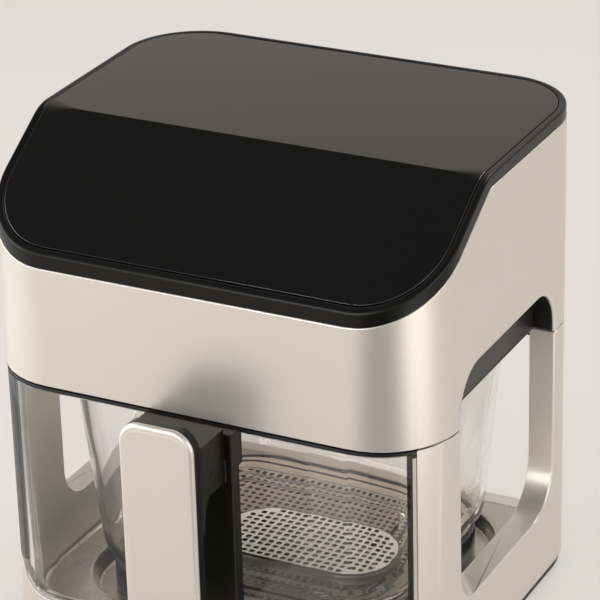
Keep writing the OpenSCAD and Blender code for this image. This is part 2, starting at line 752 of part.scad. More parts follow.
module base_heater() at_body() color(bright_steel) translate([0, vessel_back, base_tube_z]) {
    for (r = [base_heater_r, base_heater_r - 22]) rotate_extrude($fn = 72) translate([r, 0])
        circle(r = tube_r, $fn = 24);
    translate([base_heater_r - 22, 0, 0]) rotate([0, 90, 0])
        cylinder(h = 22, r = tube_r * 0.8, $fn = 24);
}
base_heater_r = plate_b - plate_wall * 2 - 14;
base_tube_z = plate_z + 2 + 3.5 + tube_r;

module base_heater_clips() at_body() color(bright_steel) for (a = clip_angles)
    translate([0, vessel_back, 0]) rotate([0, 0, a])
        box(base_heater_r - 26, base_heater_r + 4, -3, 3, plate_z + 2, base_tube_z - tube_r - 0.1);

module base_thermostat() at_body() color("black") {
    post(0, vessel_back, plate_z + 2, diffuser_z - 3, 9);
    post(0, vessel_back, diffuser_z - 3, diffuser_z - 0.1, 4);
}

// Short shoes on the posts' inner faces, on which the vessel's flange slides
module guide_shoes() at_body() color(soft_black) both_sides() {
    box(inner_x - 7, inner_x - 0.1, rebate_y + 1, rebate_y + 29, flange_z - slide_gap - 4,
        flange_z - slide_gap);
    box(inner_x - 7, inner_x - 0.1, window_y1 + 4, half_d - 18, flange_z - slide_gap - 4,
        flange_z - slide_gap);
}

// Wires in the rear right post, from the head down to the base
module wire_harness() at_body() color("firebrick") {
    post(harness_x, harness_y, plinth_h + 3.4, head_z + 30, 2.2);
    translate([harness_x, harness_y, plinth_h + 3.4]) sphere(r = 2.2, $fn = 32);
    translate([inner_x - 8, harness_y, plinth_h + 3.4]) rotate([0, 90, 0])
        cylinder(h = harness_x - inner_x + 8, r = 2.2, $fn = 32);
    box(recess_a + tray_t + 0.5, inner_x - 8, harness_y - 6, harness_y + 6, pan_floor + 0.2,
        tray_h - tray_t - gap);
}

// ---------------------------------------------------------------- vessel

// Layer of the vessel's outside, moved inwards by t, at height z
module vessel_layer(a, b, r, t, z) translate([0, 0, z]) linear_extrude(0.01)
    polygon(rrect(a - t, b - t, r - t, vessel_back, small_quarter + 2));

// Solid form of the vessel from its floor at z0, moved inwards by t
module vessel_form(t, z0, z1) {
    a = vessel_a - vessel_taper;
    b = vessel_b - vessel_taper;
    r = vessel_r - vessel_taper / 2;
    f = vessel_foot_r - t / 2;
    hull() {
        vessel_layer(vessel_a, vessel_b, vessel_r, t, z1 - 0.01);
        for (i = [0:3]) let (s = f * (1 - cos(i * 30)), d = f * (1 - sin(i * 30)))
            vessel_layer(a, b, r, t + d, z0 + s);
    }
}

module glass_vessel() at_body() color(clear_glass) difference() {
    union() {
        vessel_form(0, vessel_z, flange_top);
        upright(rrect(flange_a, flange_b, flange_r, vessel_back), flange_z, flange_top);
    }
    vessel_form(glass_t, vessel_floor, flange_top + 1);
}

// Front outline of the pane, moved inwards by g
function pane(g) = concat(
    [[pane_x - g, pane_top - g], [-pane_x + g, pane_top - g]],
    arc(-pane_x + pane_c, pane_low + pane_c, pane_c - g, 180, 270, quarter),
    arc(pane_x - pane_c, pane_low + pane_c, pane_c - g, 270, 360, quarter));

// Curved glass between the front posts, flush with the body
module front_glass() at_body() color(clear_glass) difference() {
    intersection() {
        upright(outline(0), pane_low, pane_top);
        lengthways(pane(gasket_w + 0.1), -half_d - 1, 0);
    }
    upright(outline(pane_t), 0, roof_z);
    for (x = [-1, 1]) translate([x * 18, -half_d - 1, screw_z]) rotate([-90, 0, 0])
        cylinder(h = past, r = bolt_r + 0.5, $fn = 40);
}

// Gasket around the pane's four edges
module pane_gasket() at_body() color(rubber_grey) difference() {
    intersection() {
        upright(outline(0.4), pane_low, pane_top);
        lengthways(pane(0), -half_d - 1, 0);
    }
    lengthways(pane(gasket_w), -half_d - 2, 1);
    upright(outline(pane_t - 0.4), 0, roof_z);
}

// Block between the front glass and the flange, with a tongue under the flange
module clip_block(x, w, depth) {
    box(x - w, x + w, pane_back + gap, vessel_back - flange_b - gap, flange_z - depth,
        pane_top);
    box(x - w, x + w, vessel_back - flange_b - gap - 0.1, vessel_back - flange_b + 4,
        flange_z - tongue_t - gap, flange_z - gap);
}
tongue_t = 1.8;

module pane_clips() at_body() color(soft_black) for (x = [-1, 1]) clip_block(x * 66, 7, tongue_t + gap);

module inner_clamp() at_body() color(soft_black) difference() {
    clip_block(0, grip_a, flange_z - screw_z + 9);
    for (x = [-1, 1]) translate([x * 18, pane_back - 1, screw_z]) rotate([-90, 0, 0]) {
        cylinder(h = past, r = bolt_r + screw_gap, $fn = 40);
        translate([0, 0, 1 + clamp_d - 3]) cylinder(h = past, r = bolt_r * 2 + screw_gap, $fn = 40);
    }
    post(12, magnet_y, flange_z - 4, part_z, 3 + screw_gap);
}
clamp_d = vessel_back - flange_b - gap - pane_back;
magnet_y = pane_back + gap + 5;

module vessel_magnet() at_body() color("silver") post(12, magnet_y, flange_z - 4, pane_top, 3);

// Screws from inside the vessel's collar, through the front glass, into the bracket
module handle_screws() at_body() color(bright_steel) for (x = [-1, 1])
    translate([x * 18, pane_back + clamp_d, screw_z]) rotate([90, 0, 0]) {
        translate([0, 0, 0.3]) cylinder(h = 2.6, r = bolt_r * 2, $fn = 40);
        translate([0, 0, 2.5]) cylinder(h = pane_back + clamp_d - 2.5 - back_y0, r = bolt_r, $fn = 40);
    }

// ---------------------------------------------------------------- handle

module handle_bracket() at_body() color(soft_black) difference() {
    union() {
        lengthways(concat(
            [[back_a, frame_top - 0.2], [-back_a, frame_top - 0.2]],
            arc(-back_a + grip_r, grip_low + grip_r, grip_r, 180, 270, small_quarter),
            arc(back_a - grip_r, grip_low + grip_r, grip_r, 270, 360, small_quarter)),
            back_y0, back_y1);
        box(-arm_a, arm_a, ledge_y0, back_y0 + 0.1, ledge_z0, ledge_z1);
    }
    for (x = [-1, 1]) translate([x * 18, back_y1 + 1, screw_z]) rotate([90, 0, 0])
        cylinder(h = back_t + 1.5, r = bolt_r + screw_gap, $fn = 40);
}

// Grip with rounded ends, and the arm that rests on the bracket's ledge
module handle_grip() at_body() color(soft_black) {
    lengthways(rrect_xz(grip_a, grip_low, part_z + grip_up, grip_r), grip_y0, grip_y1);
    sideways(concat(
        [[grip_y1 - 1, arm_z], [grip_y1 - 1, ledge_z0 - 22]],
        [for (i = [0:small_quarter]) let (a = 90 * i / small_quarter)
         [grip_y1 + (ledge_y0 - gap - grip_y1) * (1 - cos(a)), ledge_z0 - 22 + 22 * sin(a)]],
        [[ledge_y0 - gap, ledge_z1 + gap], [back_y0 - gap, ledge_z1 + gap],
         [back_y0 - gap, arm_z]]), -arm_a, arm_a);
}

// Front outline with half width a, from z0 to z1
function rrect_xz(a, z0, z1, r) = concat(
    arc(a - r, z1 - r, r, 0, 90, quarter), arc(-a + r, z1 - r, r, 90, 180, quarter),
    arc(-a + r, z0 + r, r, 180, 270, quarter), arc(a - r, z0 + r, r, 270, 360, quarter));

module handle_face() at_body() color(champagne)
    lengthways(rrect_xz(grip_a, grip_low, part_z + grip_up, grip_r), face_y0, grip_y0 - 0.1);

// ---------------------------------------------------------------- perforated tray

module perforated_tray() at_body() color(bright_steel)
translate([tray_right, tray_back, tray_z]) {
    linear_extrude(perf_t) perforated(tray_a, tray_b, tray_r, 4);
    difference() {
        upright(rrect(tray_a, tray_b, tray_r), gap - tray_up, perf_t);
        upright(rrect(tray_a - 1.4, tray_b - 1.4, tray_r - 1.4), -tray_up, perf_t + 1);
    }
}

module tray_bumpers() at_body() color(rubber_grey)
    for (x = [-1, 1]) for (y = [-1, 1])
        post(tray_right + x * (tray_a - 22), tray_back + y * (tray_b - 16),
             vessel_floor + 0.1, tray_z, 4);

// ---------------------------------------------------------------- fan

// Radial blades on a hub and a disc
module impeller(r, z0, h, blades, hub) {
    difference() {
        union() {
            post(0, 0, z0, z0 + h, hub);
            post(0, 0, z0 + h - 1.2, z0 + h, r);
            for (i = [0:blades - 1]) rotate([0, 0, i * 360 / blades])
                translate([hub - 1, -0.7, z0]) cube([r - hub, 1.4, h - 0.6]);
        }
        post(0, 0, z0 - 1, z0 + h + 1, shaft_r + 0.05);
    }
}

module fan_impeller() at_body() color(bright_steel) translate([0, pod_back, 0])
    impeller(fan_r, fan_z - fan_h, fan_h, 8, 9);

module cooling_fan() at_body() color(soft_black) translate([0, pod_back, 0])
    impeller(motor_r + 1, pod_top + 2, 8, 10, 7);

module fan_shaft() at_body() color(bright_steel)
    post(0, pod_back, fan_z - fan_h - 6, motor_z + motor_h + 4, shaft_r);

module shaft_nut() at_body() color(bright_steel) translate([0, pod_back, fan_z - fan_h - 4.2])
    difference() {
        cylinder(h = 4, r = 6, $fn = 6);
        translate([0, 0, -1]) cylinder(h = 6, r = shaft_r + 0.05, $fn = 40);
    }

head_shell();
head_chassis();
inner_pod();
pod_screws();
vessel_seal();
top_bezel();
top_glass();
display_module();
display_board();
power_board();
power_parts();
heat_shield();
heater_ring();
heater_clips();
fan_motor();
motor_bracket();
guard_grille();
grille_screws();
thermal_cutout();
temperature_probe();
reed_switch();
rear_vent();
cord_inlet();
lower_frame();
frame_bolts();
base_tray();
base_pan();
base_screws();
feet();
hot_plate_housing();
diffuser_plate();
base_heater();
base_heater_clips();
base_thermostat();
guide_shoes();
wire_harness();
glass_vessel();
front_glass();
pane_gasket();
pane_clips();
inner_clamp();
handle_bracket();
handle_grip();
handle_face();
handle_screws();
vessel_magnet();
perforated_tray();
tray_bumpers();
fan_impeller();
cooling_fan();
fan_shaft();
shaft_nut();
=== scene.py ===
"""Looks of a countertop cooker with a slide-out glass vessel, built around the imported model.

Sizes in the classes are in millimetres and every mesh is in metres. The body's middle lies
at BODY_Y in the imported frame, and heights are measured from the floor.
"""

import logging
import math
from dataclasses import dataclass, replace
from enum import Enum
from typing import Any, Callable, Optional, Sequence, Union

import bmesh
import bpy
import numpy as np
from mathutils import Matrix, Vector


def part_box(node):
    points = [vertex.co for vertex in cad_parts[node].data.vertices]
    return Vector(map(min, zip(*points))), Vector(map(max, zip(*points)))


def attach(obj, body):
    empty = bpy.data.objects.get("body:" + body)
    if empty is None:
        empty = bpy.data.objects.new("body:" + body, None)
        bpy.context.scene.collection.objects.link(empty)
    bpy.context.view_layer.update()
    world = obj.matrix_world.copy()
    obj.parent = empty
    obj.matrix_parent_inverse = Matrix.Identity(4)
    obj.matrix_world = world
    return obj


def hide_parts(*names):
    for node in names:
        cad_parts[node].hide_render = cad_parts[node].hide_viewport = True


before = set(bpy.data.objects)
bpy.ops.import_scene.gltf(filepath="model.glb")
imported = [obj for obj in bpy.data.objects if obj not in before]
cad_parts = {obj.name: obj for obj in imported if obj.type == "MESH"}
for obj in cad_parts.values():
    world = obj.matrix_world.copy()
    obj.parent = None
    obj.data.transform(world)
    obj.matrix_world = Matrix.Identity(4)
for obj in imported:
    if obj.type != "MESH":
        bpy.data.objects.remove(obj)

logging.basicConfig(level=logging.INFO, format="%(name)s: %(message)s")
log = logging.getLogger("cooker")

MM = 0.001


def box_of(node: str) -> tuple[np.ndarray, np.ndarray]:
    """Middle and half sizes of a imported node's box in millimetres."""
    low, high = (np.array(corner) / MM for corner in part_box(node))
    return (low + high) / 2, (high - low) / 2


(_, BODY_Y, _), (HALF_W, HALF_D, _) = box_of("head_shell")
ROOF_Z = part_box("top_bezel")[1].z / MM
SKIN = 0.2  # an edge this close to the side faces lies on the outer skin
LIP = 1.5  # rounding of the side windows' outer lips
# Painted shade: below this depth the perforated sheets' hole walls and undersides are coloured
# darker.
HOLE_SHADE_DEPTH = 0.15  # how far under a sheet's top the cut walls of its holes begin

Colour = tuple[float, float, float]
Value = Union["Signal", float]
Tone = Union["Signal", Colour]
Profile = tuple[tuple[float, float], ...]
Inputs = dict[Union[str, int], Any]


class Body(str, Enum):
    """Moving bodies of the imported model."""

    BASE = "body"
    VESSEL = "vessel"
    TRAY = "tray"
    FAN = "fan"


def linear(red: float, green: float, blue: float) -> Colour:
    """Linear colour of a display colour given from 0 to 255.

    Args:
        red: Red channel from 0 to 255.
        green: Green channel.
        blue: Blue channel.

    Returns:
        Linear red, green and blue from 0 to 1.
    """

    def one(value: float) -> float:
        """Linear value of one channel: the display curve turned back."""
        share = value / 255.0
        return share / 12.92 if share <= 0.04045 else ((share + 0.055) / 1.055) ** 2.4

    return (one(red), one(green), one(blue))


# ------------------------------------------------------------------ material nodes


class Signal:
    """One output of a material's nodes. Arithmetic on it adds Math nodes."""

    def __init__(self, graph: "Graph", socket: bpy.types.NodeSocket) -> None:
        """Wraps one socket of a graph."""
        self.graph = graph
        self.socket = socket

    def _pair(self, operation: str, other: Value, turned: bool = False) -> "Signal":
        """Math node on this value and another, in either order."""
        first, second = (other, self) if turned else (self, other)
        return self.graph.math(operation, first, second)

    def __add__(self, other: Value) -> "Signal":
        """This value plus another."""
        return self._pair("ADD", other)

    def __sub__(self, other: Value) -> "Signal":
        """This value minus another."""
        return self._pair("SUBTRACT", other)

    def __rsub__(self, other: Value) -> "Signal":
        """Another value minus this one."""
        return self._pair("SUBTRACT", other, True)

    def __mul__(self, other: Value) -> "Signal":
        """This value times another."""
        return self._pair("MULTIPLY", other)

    def above(self, limit: float) -> "Signal":
        """One where this value is above the limit, and zero elsewhere."""
        return self._pair("GREATER_THAN", limit)

    def limited(self) -> "Signal":
        """This value, kept between zero and one."""
        return self._pair("MAXIMUM", 0.0)._pair("MINIMUM", 1.0)


class Graph:
    """The nodes of one material or world."""

    def __init__(self, tree: bpy.types.NodeTree) -> None:
        """Starts with an empty tree."""
        self.tree = tree
        tree.nodes.clear()

    def node(self, kind: str, inputs: Optional[Inputs] = None, **settings: Any) -> bpy.types.Node:
        """Adds one node.

        Args:
            kind: The node's type.
            inputs: Values or signals for its sockets, by name or number.
            settings: Its own settings, set first. "stops" are a ramp's places and colours.

        Returns:
            The new node.
        """
        made = self.tree.nodes.new(kind)
        for name, value in settings.items():
            if name == "stops":
                self._stops(made.color_ramp, value)
            else:
                setattr(made, name, value)
        for name, value in (inputs or {}).items():
            socket = made.inputs[name]
            if isinstance(value, Signal):
                self.tree.links.new(value.socket, socket)
            else:
                socket.default_value = value
        return made

    @staticmethod
    def _stops(ramp: bpy.types.ColorRamp, stops: Sequence[tuple[float, Colour]]) -> None:
        """Gives a ramp its stops, each a place and a colour.

        Args:
            ramp: The ramp of a new node, with two stops.
            stops: Places from 0 to 1 with their linear colours, in order.
        """
        while len(ramp.elements) < len(stops):
            ramp.elements.new(0.5)
        for element, (place, colour) in zip(ramp.elements, stops):
            element.position = place
            element.color = (*colour, 1.0)

    def out(self, made: bpy.types.Node, name: Union[str, int] = 0) -> Signal:
        """One output of a node as a signal."""
        return Signal(self, made.outputs[name])

    def math(self, operation: str, first: Value, second: Value) -> Signal:
        """Math node on two values."""
        return self.out(self.node("ShaderNodeMath", {0: first, 1: second}, operation=operation))

    def blend(self, share: Value, first: Tone, second: Tone) -> Signal:
        """Colour between two colours.

        Args:
            share: Share of the second colour.
            first: Linear colour or signal.
            second: Linear colour or signal.

        Returns:
            The colour.
        """
        pair = [(*c, 1.0) if isinstance(c, tuple) else c for c in (first, second)]
        inputs = {0: share, 6: pair[0], 7: pair[1]}
        made = self.node("ShaderNodeMix", inputs, data_type="RGBA", clamp_factor=True)
        return self.out(made, 2)

    def place(self, stretch: Colour = (1.0, 1.0, 1.0)) -> Signal:
        """Object coordinates, stretched along the axes.

        Args:
            stretch: Factor along each axis.

        Returns:
            The coordinates in metres times the factors.
        """
        coordinates = self.out(self.node("ShaderNodeTexCoord"), "Object")
        made = self.node("ShaderNodeMapping", {"Vector": coordinates, "Scale": stretch})
        return self.out(made)

    def along(self, axis: int) -> Signal:
        """One object coordinate in metres: 0 for x, 1 for y, 2 for z."""
        return self.out(self.node("ShaderNodeSeparateXYZ", {0: self.place()}), axis)

    def noise(
        self, scale: float, detail: float = 2.0, stretch: Colour = (1.0, 1.0, 1.0)
    ) -> Signal:
        """Noise from 0 to 1.

        Args:
            scale: Cycles for each metre.
            detail: Finer layers that are added.
            stretch: Factors on the coordinates along each axis.

        Returns:
            The noise.
        """
        inputs = {"Vector": self.place(stretch), "Scale": scale, "Detail": detail}
        return self.out(self.node("ShaderNodeTexNoise", inputs))

    def attribute(self, name: str) -> Signal:
        """A number that the mesh carries."""
        return self.out(self.node("ShaderNodeAttribute", attribute_name=name), "Fac")

    def bump(self, height: Signal, depth: float) -> Signal:
        """Normal tilted by a height from 0 to 1 over a depth in metres."""
        inputs = {"Height": height, "Distance": depth, "Strength": 1.0}
        return self.out(self.node("ShaderNodeBump", inputs))

    def mixed(self, share: Signal, first: bpy.types.Node, second: bpy.types.Node) -> bpy.types.Node:
        """Mix of two shaders, the second where the share is one."""
        return self.node("ShaderNodeMixShader", {0: share, 1: self.out(first), 2: self.out(second)})

    def lead(self, kind: str, shader: bpy.types.Node) -> None:
        """Leads a shader to a new output node of a kind."""
        self.node(kind, {"Surface": self.out(shader)})


def new_material(name: str, fill: Callable[[Graph], bpy.types.Node]) -> bpy.types.Material:
    """Makes a material from a function that adds its shader.

    Args:
        name: Name of the material.
        fill: Adds the nodes and returns the shader.

    Returns:
        The material.
    """
    material = bpy.data.materials.new(name)
    material.use_nodes = True
    graph = Graph(material.node_tree)
    graph.lead("ShaderNodeOutputMaterial", fill(graph))
    return material


def placed(name: str, data: bpy.types.ID) -> bpy.types.Object:
    """New object in the scene, at the origin.

    Args:
        name: Name of the object.
        data: Mesh, light or camera that it shows.

    Returns:
        The object, linked into the scene.
    """
    piece = bpy.data.objects.new(name, data)
    bpy.context.scene.collection.objects.link(piece)
    return piece


# ------------------------------------------------------------------ finishes


@dataclass(frozen=True)
class Finish:
    """A surface with a slow change of colour, a fine grain, and rounded edges with their own
    roughness whose colour is lifted towards white as a painted highlight.

    Colours are display colours from 0 to 255, scales are cycles for each metre, and
    depths are metres.
    """

    name: str
    colour: Colour
    second: Colour
    roughness: float
    spread: float = 0.06
    metallic: float = 0.0
    patch_scale: float = 14.0
    slow_share: float = 0.75
    slow_rough: float = 0.6
    grain_scale: float = 1800.0
    grain_depth: float = 0.00001
    grain_stretch: Colour = (1.0, 1.0, 1.0)
    # painted highlight: share by which the rounded edges' colour is lifted towards white
    painted_edge_highlight: float = 0.0
    edge_roughness: float = 0.0
    coat: float = 0.0
    coat_roughness: float = 0.08
    index: float = 1.5

    def mixed(self, graph: Graph, share: Value) -> Signal:
        """Colour between the finish's two colours."""
        return graph.blend(share, linear(*self.colour), linear(*self.second))

    def colour_of(self, graph: Graph, patch: Signal, grain: Signal) -> Signal:
        """Colour that changes slowly, with a little of the grain in it."""
        return self.mixed(graph, patch * self.slow_share + grain * (1 - self.slow_share))

    def surface(self, graph: Graph) -> bpy.types.Node:
        """Adds the shader.

        Args:
            graph: Nodes of the material.

        Returns:
            The shader node.
        """
        patch = graph.noise(self.patch_scale, 3.0)
        grain = graph.noise(self.grain_scale, 2.0, self.grain_stretch)
        edge = graph.attribute("edge")
        colour = self.colour_of(graph, patch, grain)
        # Painted highlight: the colour of the rounded edges is lifted towards white.
        if self.painted_edge_highlight:
            colour = graph.blend(edge * self.painted_edge_highlight, colour, (1.0, 1.0, 1.0))
        share = patch * self.slow_rough + grain * (1 - self.slow_rough)
        rough = (share - 0.5) * (2.0 * self.spread) + self.roughness
        return graph.node("ShaderNodeBsdfPrincipled", {
            "Base Color": colour,
            "Roughness": rough + edge * self.edge_roughness,
            "Metallic": self.metallic,
            "IOR": self.index,
            "Coat Weight": self.coat,
            "Coat Roughness": self.coat_roughness,
            "Normal": graph.bump(grain, self.grain_depth),
        })

    def build(self) -> bpy.types.Material:
        """Makes the material, or gives the one made before."""
        return bpy.data.materials.get(self.name) or new_material(self.name, self.surface)


@dataclass(frozen=True)
class ClearGlass(Finish):
    """Clear glass with a faint ripple, which lets light through to what it covers.

    Where a border's place is given, in metres, the glass beyond it is printed dark.
    """

    ripple_scale: float = 22.0
    ripple_depth: float = 0.0004
    border_x: float = 0.0
    border_colour: Colour = (26, 25, 24)

    def waves(self, graph: Graph) -> Signal:
        """Height of the ripples."""
        return graph.noise(self.ripple_scale, 1.0)

    def tint(self, graph: Graph, smear: Signal) -> Signal:
        """Colour of the glass and its border.

        Args:
            graph: Nodes of the material.
            smear: Noise that mixes the two clear colours.

        Returns:
            The colour.
        """
        tint = self.mixed(graph, smear)
        if self.border_x:
            aside = graph.math("ABSOLUTE", graph.along(0), 0.0)
            tint = graph.blend(aside.above(self.border_x), tint, linear(*self.border_colour))
        return tint

    def surface(self, graph: Graph) -> bpy.types.Node:
        """Adds glass that shadow rays pass.

        Args:
            graph: Nodes of the material.

        Returns:
            The mix of the glass and what shadow rays see.
        """
        ripple = self.waves(graph)
        smear = graph.noise(self.patch_scale, 4.0)
        glass = graph.node("ShaderNodeBsdfPrincipled", {
            "Base Color": self.tint(graph, smear),
            "Roughness": smear * self.spread + self.roughness,
            "Transmission Weight": 1.0,
            "IOR": self.index,
            "Normal": graph.bump(ripple, self.ripple_depth),
        })
        through = graph.node("ShaderNodeBsdfTransparent", {"Color": (*linear(*self.colour), 1.0)})
        shadow = graph.out(graph.node("ShaderNodeLightPath"), "Is Shadow Ray")
        return graph.mixed(shadow, glass, through)


@dataclass(frozen=True)
class FootedGlass(ClearGlass):
    """Clear glass that is streaked at its foot and coloured darker and warmer towards the foot as
    painted shade. Heights are in metres.
    """

    streak_top: float = 0.085
    streak_fade: float = 0.034
    streak_scale: float = 90.0
    streak_share: float = 1.6
    foot_top: float = 0.047
    foot_rate: float = 90.0
    painted_foot_shade: Colour = (236, 230, 223)

    def waves(self, graph: Graph) -> Signal:
        """Ripples, with level streaks that grow below a height.

        Args:
            graph: Nodes of the material.

        Returns:
            Height of the surface.
        """
        low = ((self.streak_top - graph.along(2)) * (1.0 / self.streak_fade)).limited()
        streak = graph.noise(self.streak_scale, 1.0, (0.1, 0.1, 1.0))
        return super().waves(graph) + low * streak * self.streak_share

    def tint(self, graph: Graph, smear: Signal) -> Signal:
        """Clear above, and the painted foot shade below.

        Args:
            graph: Nodes of the material.
            smear: Noise, which this glass leaves out.

        Returns:
            The colour.
        """
        # Painted shade: the glass turns darker and warmer below the foot's height.
        deep = ((self.foot_top - graph.along(2)) * self.foot_rate).limited()
        return graph.blend(deep, linear(*self.colour), linear(*self.painted_foot_shade))


@dataclass(frozen=True)
class SplitByHeight(Finish):
    """Finish with another colour past a height. On the perforated sheets this is painted shade:
    their hole walls and undersides, which lie in shade, get the darker colour.
    """

    split_z: float = 0.0
    # darker colour past the height; on the perforated sheets it is painted shade
    far_side: Colour = (74, 68, 62)
    above_split: bool = True

    def colour_of(self, graph: Graph, patch: Signal, grain: Signal) -> Signal:
        """The plain colour on one side of a height, and the other colour past it.

        Args:
            graph: Nodes of the material.
            patch: Slow noise, which mixes the plain colour.
            grain: Fine noise, which this finish's colour leaves out.

        Returns:
            The colour.
        """
        over = graph.along(2).above(self.split_z)
        pair = [self.mixed(graph, patch), linear(*self.far_side)]
        return graph.blend(over, *(pair if self.above_split else pair[::-1]))


@dataclass(frozen=True)
class CircuitBoard(Finish):
    """Green board with rows of copper tracks under the lacquer."""

    track_scale: float = 380.0 / 6.3
    track_from: float = 0.72
    track_share: float = 0.8

    def colour_of(self, graph: Graph, patch: Signal, grain: Signal) -> Signal:
        """Lacquer with lighter lines, where a wave across the board is high.

        Args:
            graph: Nodes of the material.
            patch: Slow noise, which this finish leaves out.
            grain: Fine noise, which this finish leaves out.

        Returns:
            The colour.
        """
        wave = graph.node("ShaderNodeTexWave", {
            "Vector": graph.place(), "Scale": self.track_scale, "Distortion": 6.0,
            "Detail": 1.0, "Detail Scale": 0.6,
        }, bands_direction="X")
        track = graph.out(wave, "Fac").above(self.track_from)
        return self.mixed(graph, track * self.track_share)


@dataclass(frozen=True)
class TwoTone(Finish):
    """Small parts on a board, each with a colour of its own by its place."""

    cell_scale: float = 34.0

    def colour_of(self, graph: Graph, patch: Signal, grain: Signal) -> Signal:
        """Colour picked by the cell that a point lies in.

        Args:
            graph: Nodes of the material.
            patch: Slow noise, which this finish leaves out.
            grain: Fine noise, which this finish leaves out.

        Returns:
            The colour.
        """
        inputs = {"Vector": graph.place(), "Scale": self.cell_scale}
        cells = graph.node("ShaderNodeTexVoronoi", inputs)
        pick = graph.node("ShaderNodeSeparateColor", {0: graph.out(cells, "Color")})
        return self.mixed(graph, graph.out(pick, 0))


# Each finish's lift on its rounded edges is a painted highlight.
CHAMPAGNE = Finish(
    "satin_champagne_metal", (221, 215, 207), (215, 209, 200), 0.36, 0.03, 0.66,
    grain_scale=2600.0, grain_depth=0.000006, painted_edge_highlight=0.18, edge_roughness=-0.06,
)
# The frame's pressed floor: champagne metal with its own gloss, coloured darker as painted shade
# inside the frame.
SHADED_TRAY_METAL = Finish(
    "pressed_tray_metal_painted_shade", (204, 197, 188), (192, 185, 176), 0.28, 0.06, 0.9,
    patch_scale=26.0, grain_scale=1500.0, grain_depth=0.000006, painted_edge_highlight=0.1,
)
BRUSHED_FACE = Finish(
    "brushed_handle_metal", (226, 220, 213), (219, 213, 205), 0.36, 0.04, 0.82,
    grain_scale=900.0, grain_stretch=(1.0, 1.0, 0.05), grain_depth=0.000004,
    painted_edge_highlight=0.04, edge_roughness=0.12,
)
TOP_GLASS = Finish(
    "black_top_glass", (11, 11, 11), (13, 13, 13), 0.05, 0.02,
    patch_scale=9.0, grain_scale=420.0, grain_depth=0.0000006, painted_edge_highlight=0.02, index=1.52,
)
BEZEL = Finish(
    "satin_bezel_black", (9, 9, 9), (13, 13, 12), 0.33, 0.05,
    grain_scale=2200.0, grain_depth=0.000005, painted_edge_highlight=0.03, index=1.31,
)
BLACK_PLASTIC = Finish(
    "moulded_black_plastic", (10, 10, 9), (14, 14, 13), 0.40, 0.06,
    grain_scale=1700.0, grain_depth=0.000014, painted_edge_highlight=0.012, index=1.36,
)
BLACK_ENAMEL = Finish(
    "black_enamel", (14, 14, 13), (20, 20, 19), 0.24, 0.06,
    patch_scale=30.0, grain_scale=1400.0, grain_depth=0.00001, painted_edge_highlight=0.03, coat=0.3,
)
POD_LINING = Finish(
    "dark_pod_coating", (28, 27, 26), (35, 34, 33), 0.38, 0.07,
    grain_scale=1500.0, grain_depth=0.00001, painted_edge_highlight=0.03,
)
STEEL = Finish(
    "satin_steel", (224, 219, 212), (208, 203, 196), 0.27, 0.08, 0.95,
    grain_scale=1300.0, grain_stretch=(0.12, 1.0, 1.0), grain_depth=0.000005, painted_edge_highlight=0.12,
)
# The perforated finishes colour their hole walls and undersides darker: painted shade in the holes
# and under the sheet.
PERFORATED = SplitByHeight(
    "perforated_steel", (250, 242, 232), (243, 234, 223), 0.42, 0.06, 0.1,
    grain_scale=1500.0, grain_depth=0.000004, painted_edge_highlight=0.1, above_split=False,
)
# The tray's rolled border is the same steel as its top, coloured darker as painted shade under the
# edge.
SHADED_ROLLED_EDGE = Finish(
    "rolled_edge_steel_painted_shade", (120, 112, 104), (98, 91, 84), 0.28, 0.06, 0.85,
    grain_scale=1500.0, grain_stretch=(1.0, 1.0, 8.0), grain_depth=0.000006, painted_edge_highlight=0.1,
)
DIFFUSER = SplitByHeight(
    "dull_perforated_steel", (196, 186, 176), (178, 168, 158), 0.40, 0.06, 0.45,
    grain_scale=1500.0, grain_depth=0.000004, painted_edge_highlight=0.1, above_split=False,
    far_side=(112, 104, 96),
)
DARK_STEEL = Finish(
    "heat_tinted_steel", (122, 110, 98), (96, 88, 84), 0.34, 0.1, 0.95,
    patch_scale=40.0, grain_scale=1200.0, grain_depth=0.000008, painted_edge_highlight=0.06,
)
RUBBER = Finish(
    "dark_rubber", (24, 24, 23), (32, 31, 30), 0.62, 0.06,
    grain_scale=1300.0, grain_depth=0.00003,
)
PALE_SEAL = SplitByHeight(
    "pale_silicone", (190, 185, 179), (178, 173, 166), 0.35, 0.06,
    grain_scale=1300.0, grain_depth=0.00002, far_side=(22, 22, 21),
)
SILICONE = Finish(
    "grey_silicone", (58, 56, 54), (70, 68, 65), 0.5, 0.06,
    grain_scale=1100.0, grain_depth=0.00001,
)
NICKEL = Finish(
    "nickel_plate", (206, 203, 197), (190, 187, 182), 0.2, 0.05, 1.0,
    grain_scale=900.0, grain_depth=0.000003,
)
NYLON = Finish(
    "white_nylon", (226, 222, 212), (214, 210, 200), 0.45, 0.06,
    grain_scale=1200.0, grain_depth=0.00001,
)
WIRE = Finish(
    "heat_proof_sleeve", (148, 44, 32), (128, 36, 28), 0.6, 0.08,
    grain_scale=900.0, grain_stretch=(1.0, 1.0, 0.4), grain_depth=0.00004,
)
DISPLAY = Finish(
    "display_window", (8, 10, 12), (14, 16, 18), 0.12, 0.03, grain_scale=700.0,
    grain_depth=0.000002,
)
MOTOR = Finish(
    "motor_can", (176, 174, 168), (150, 148, 143), 0.34, 0.08, 0.9,
    grain_scale=800.0, grain_stretch=(1.0, 1.0, 0.2), grain_depth=0.000008, painted_edge_highlight=0.1,
)
BOARD = CircuitBoard(
    "lacquered_board", (10, 62, 38), (40, 108, 62), 0.35, 0.05,
    grain_scale=900.0, grain_depth=0.00001,
)
BOARD_PARTS = TwoTone(
    "board_components", (28, 34, 60), (186, 158, 74), 0.38, 0.08,
    grain_scale=900.0, grain_depth=0.00001,
)
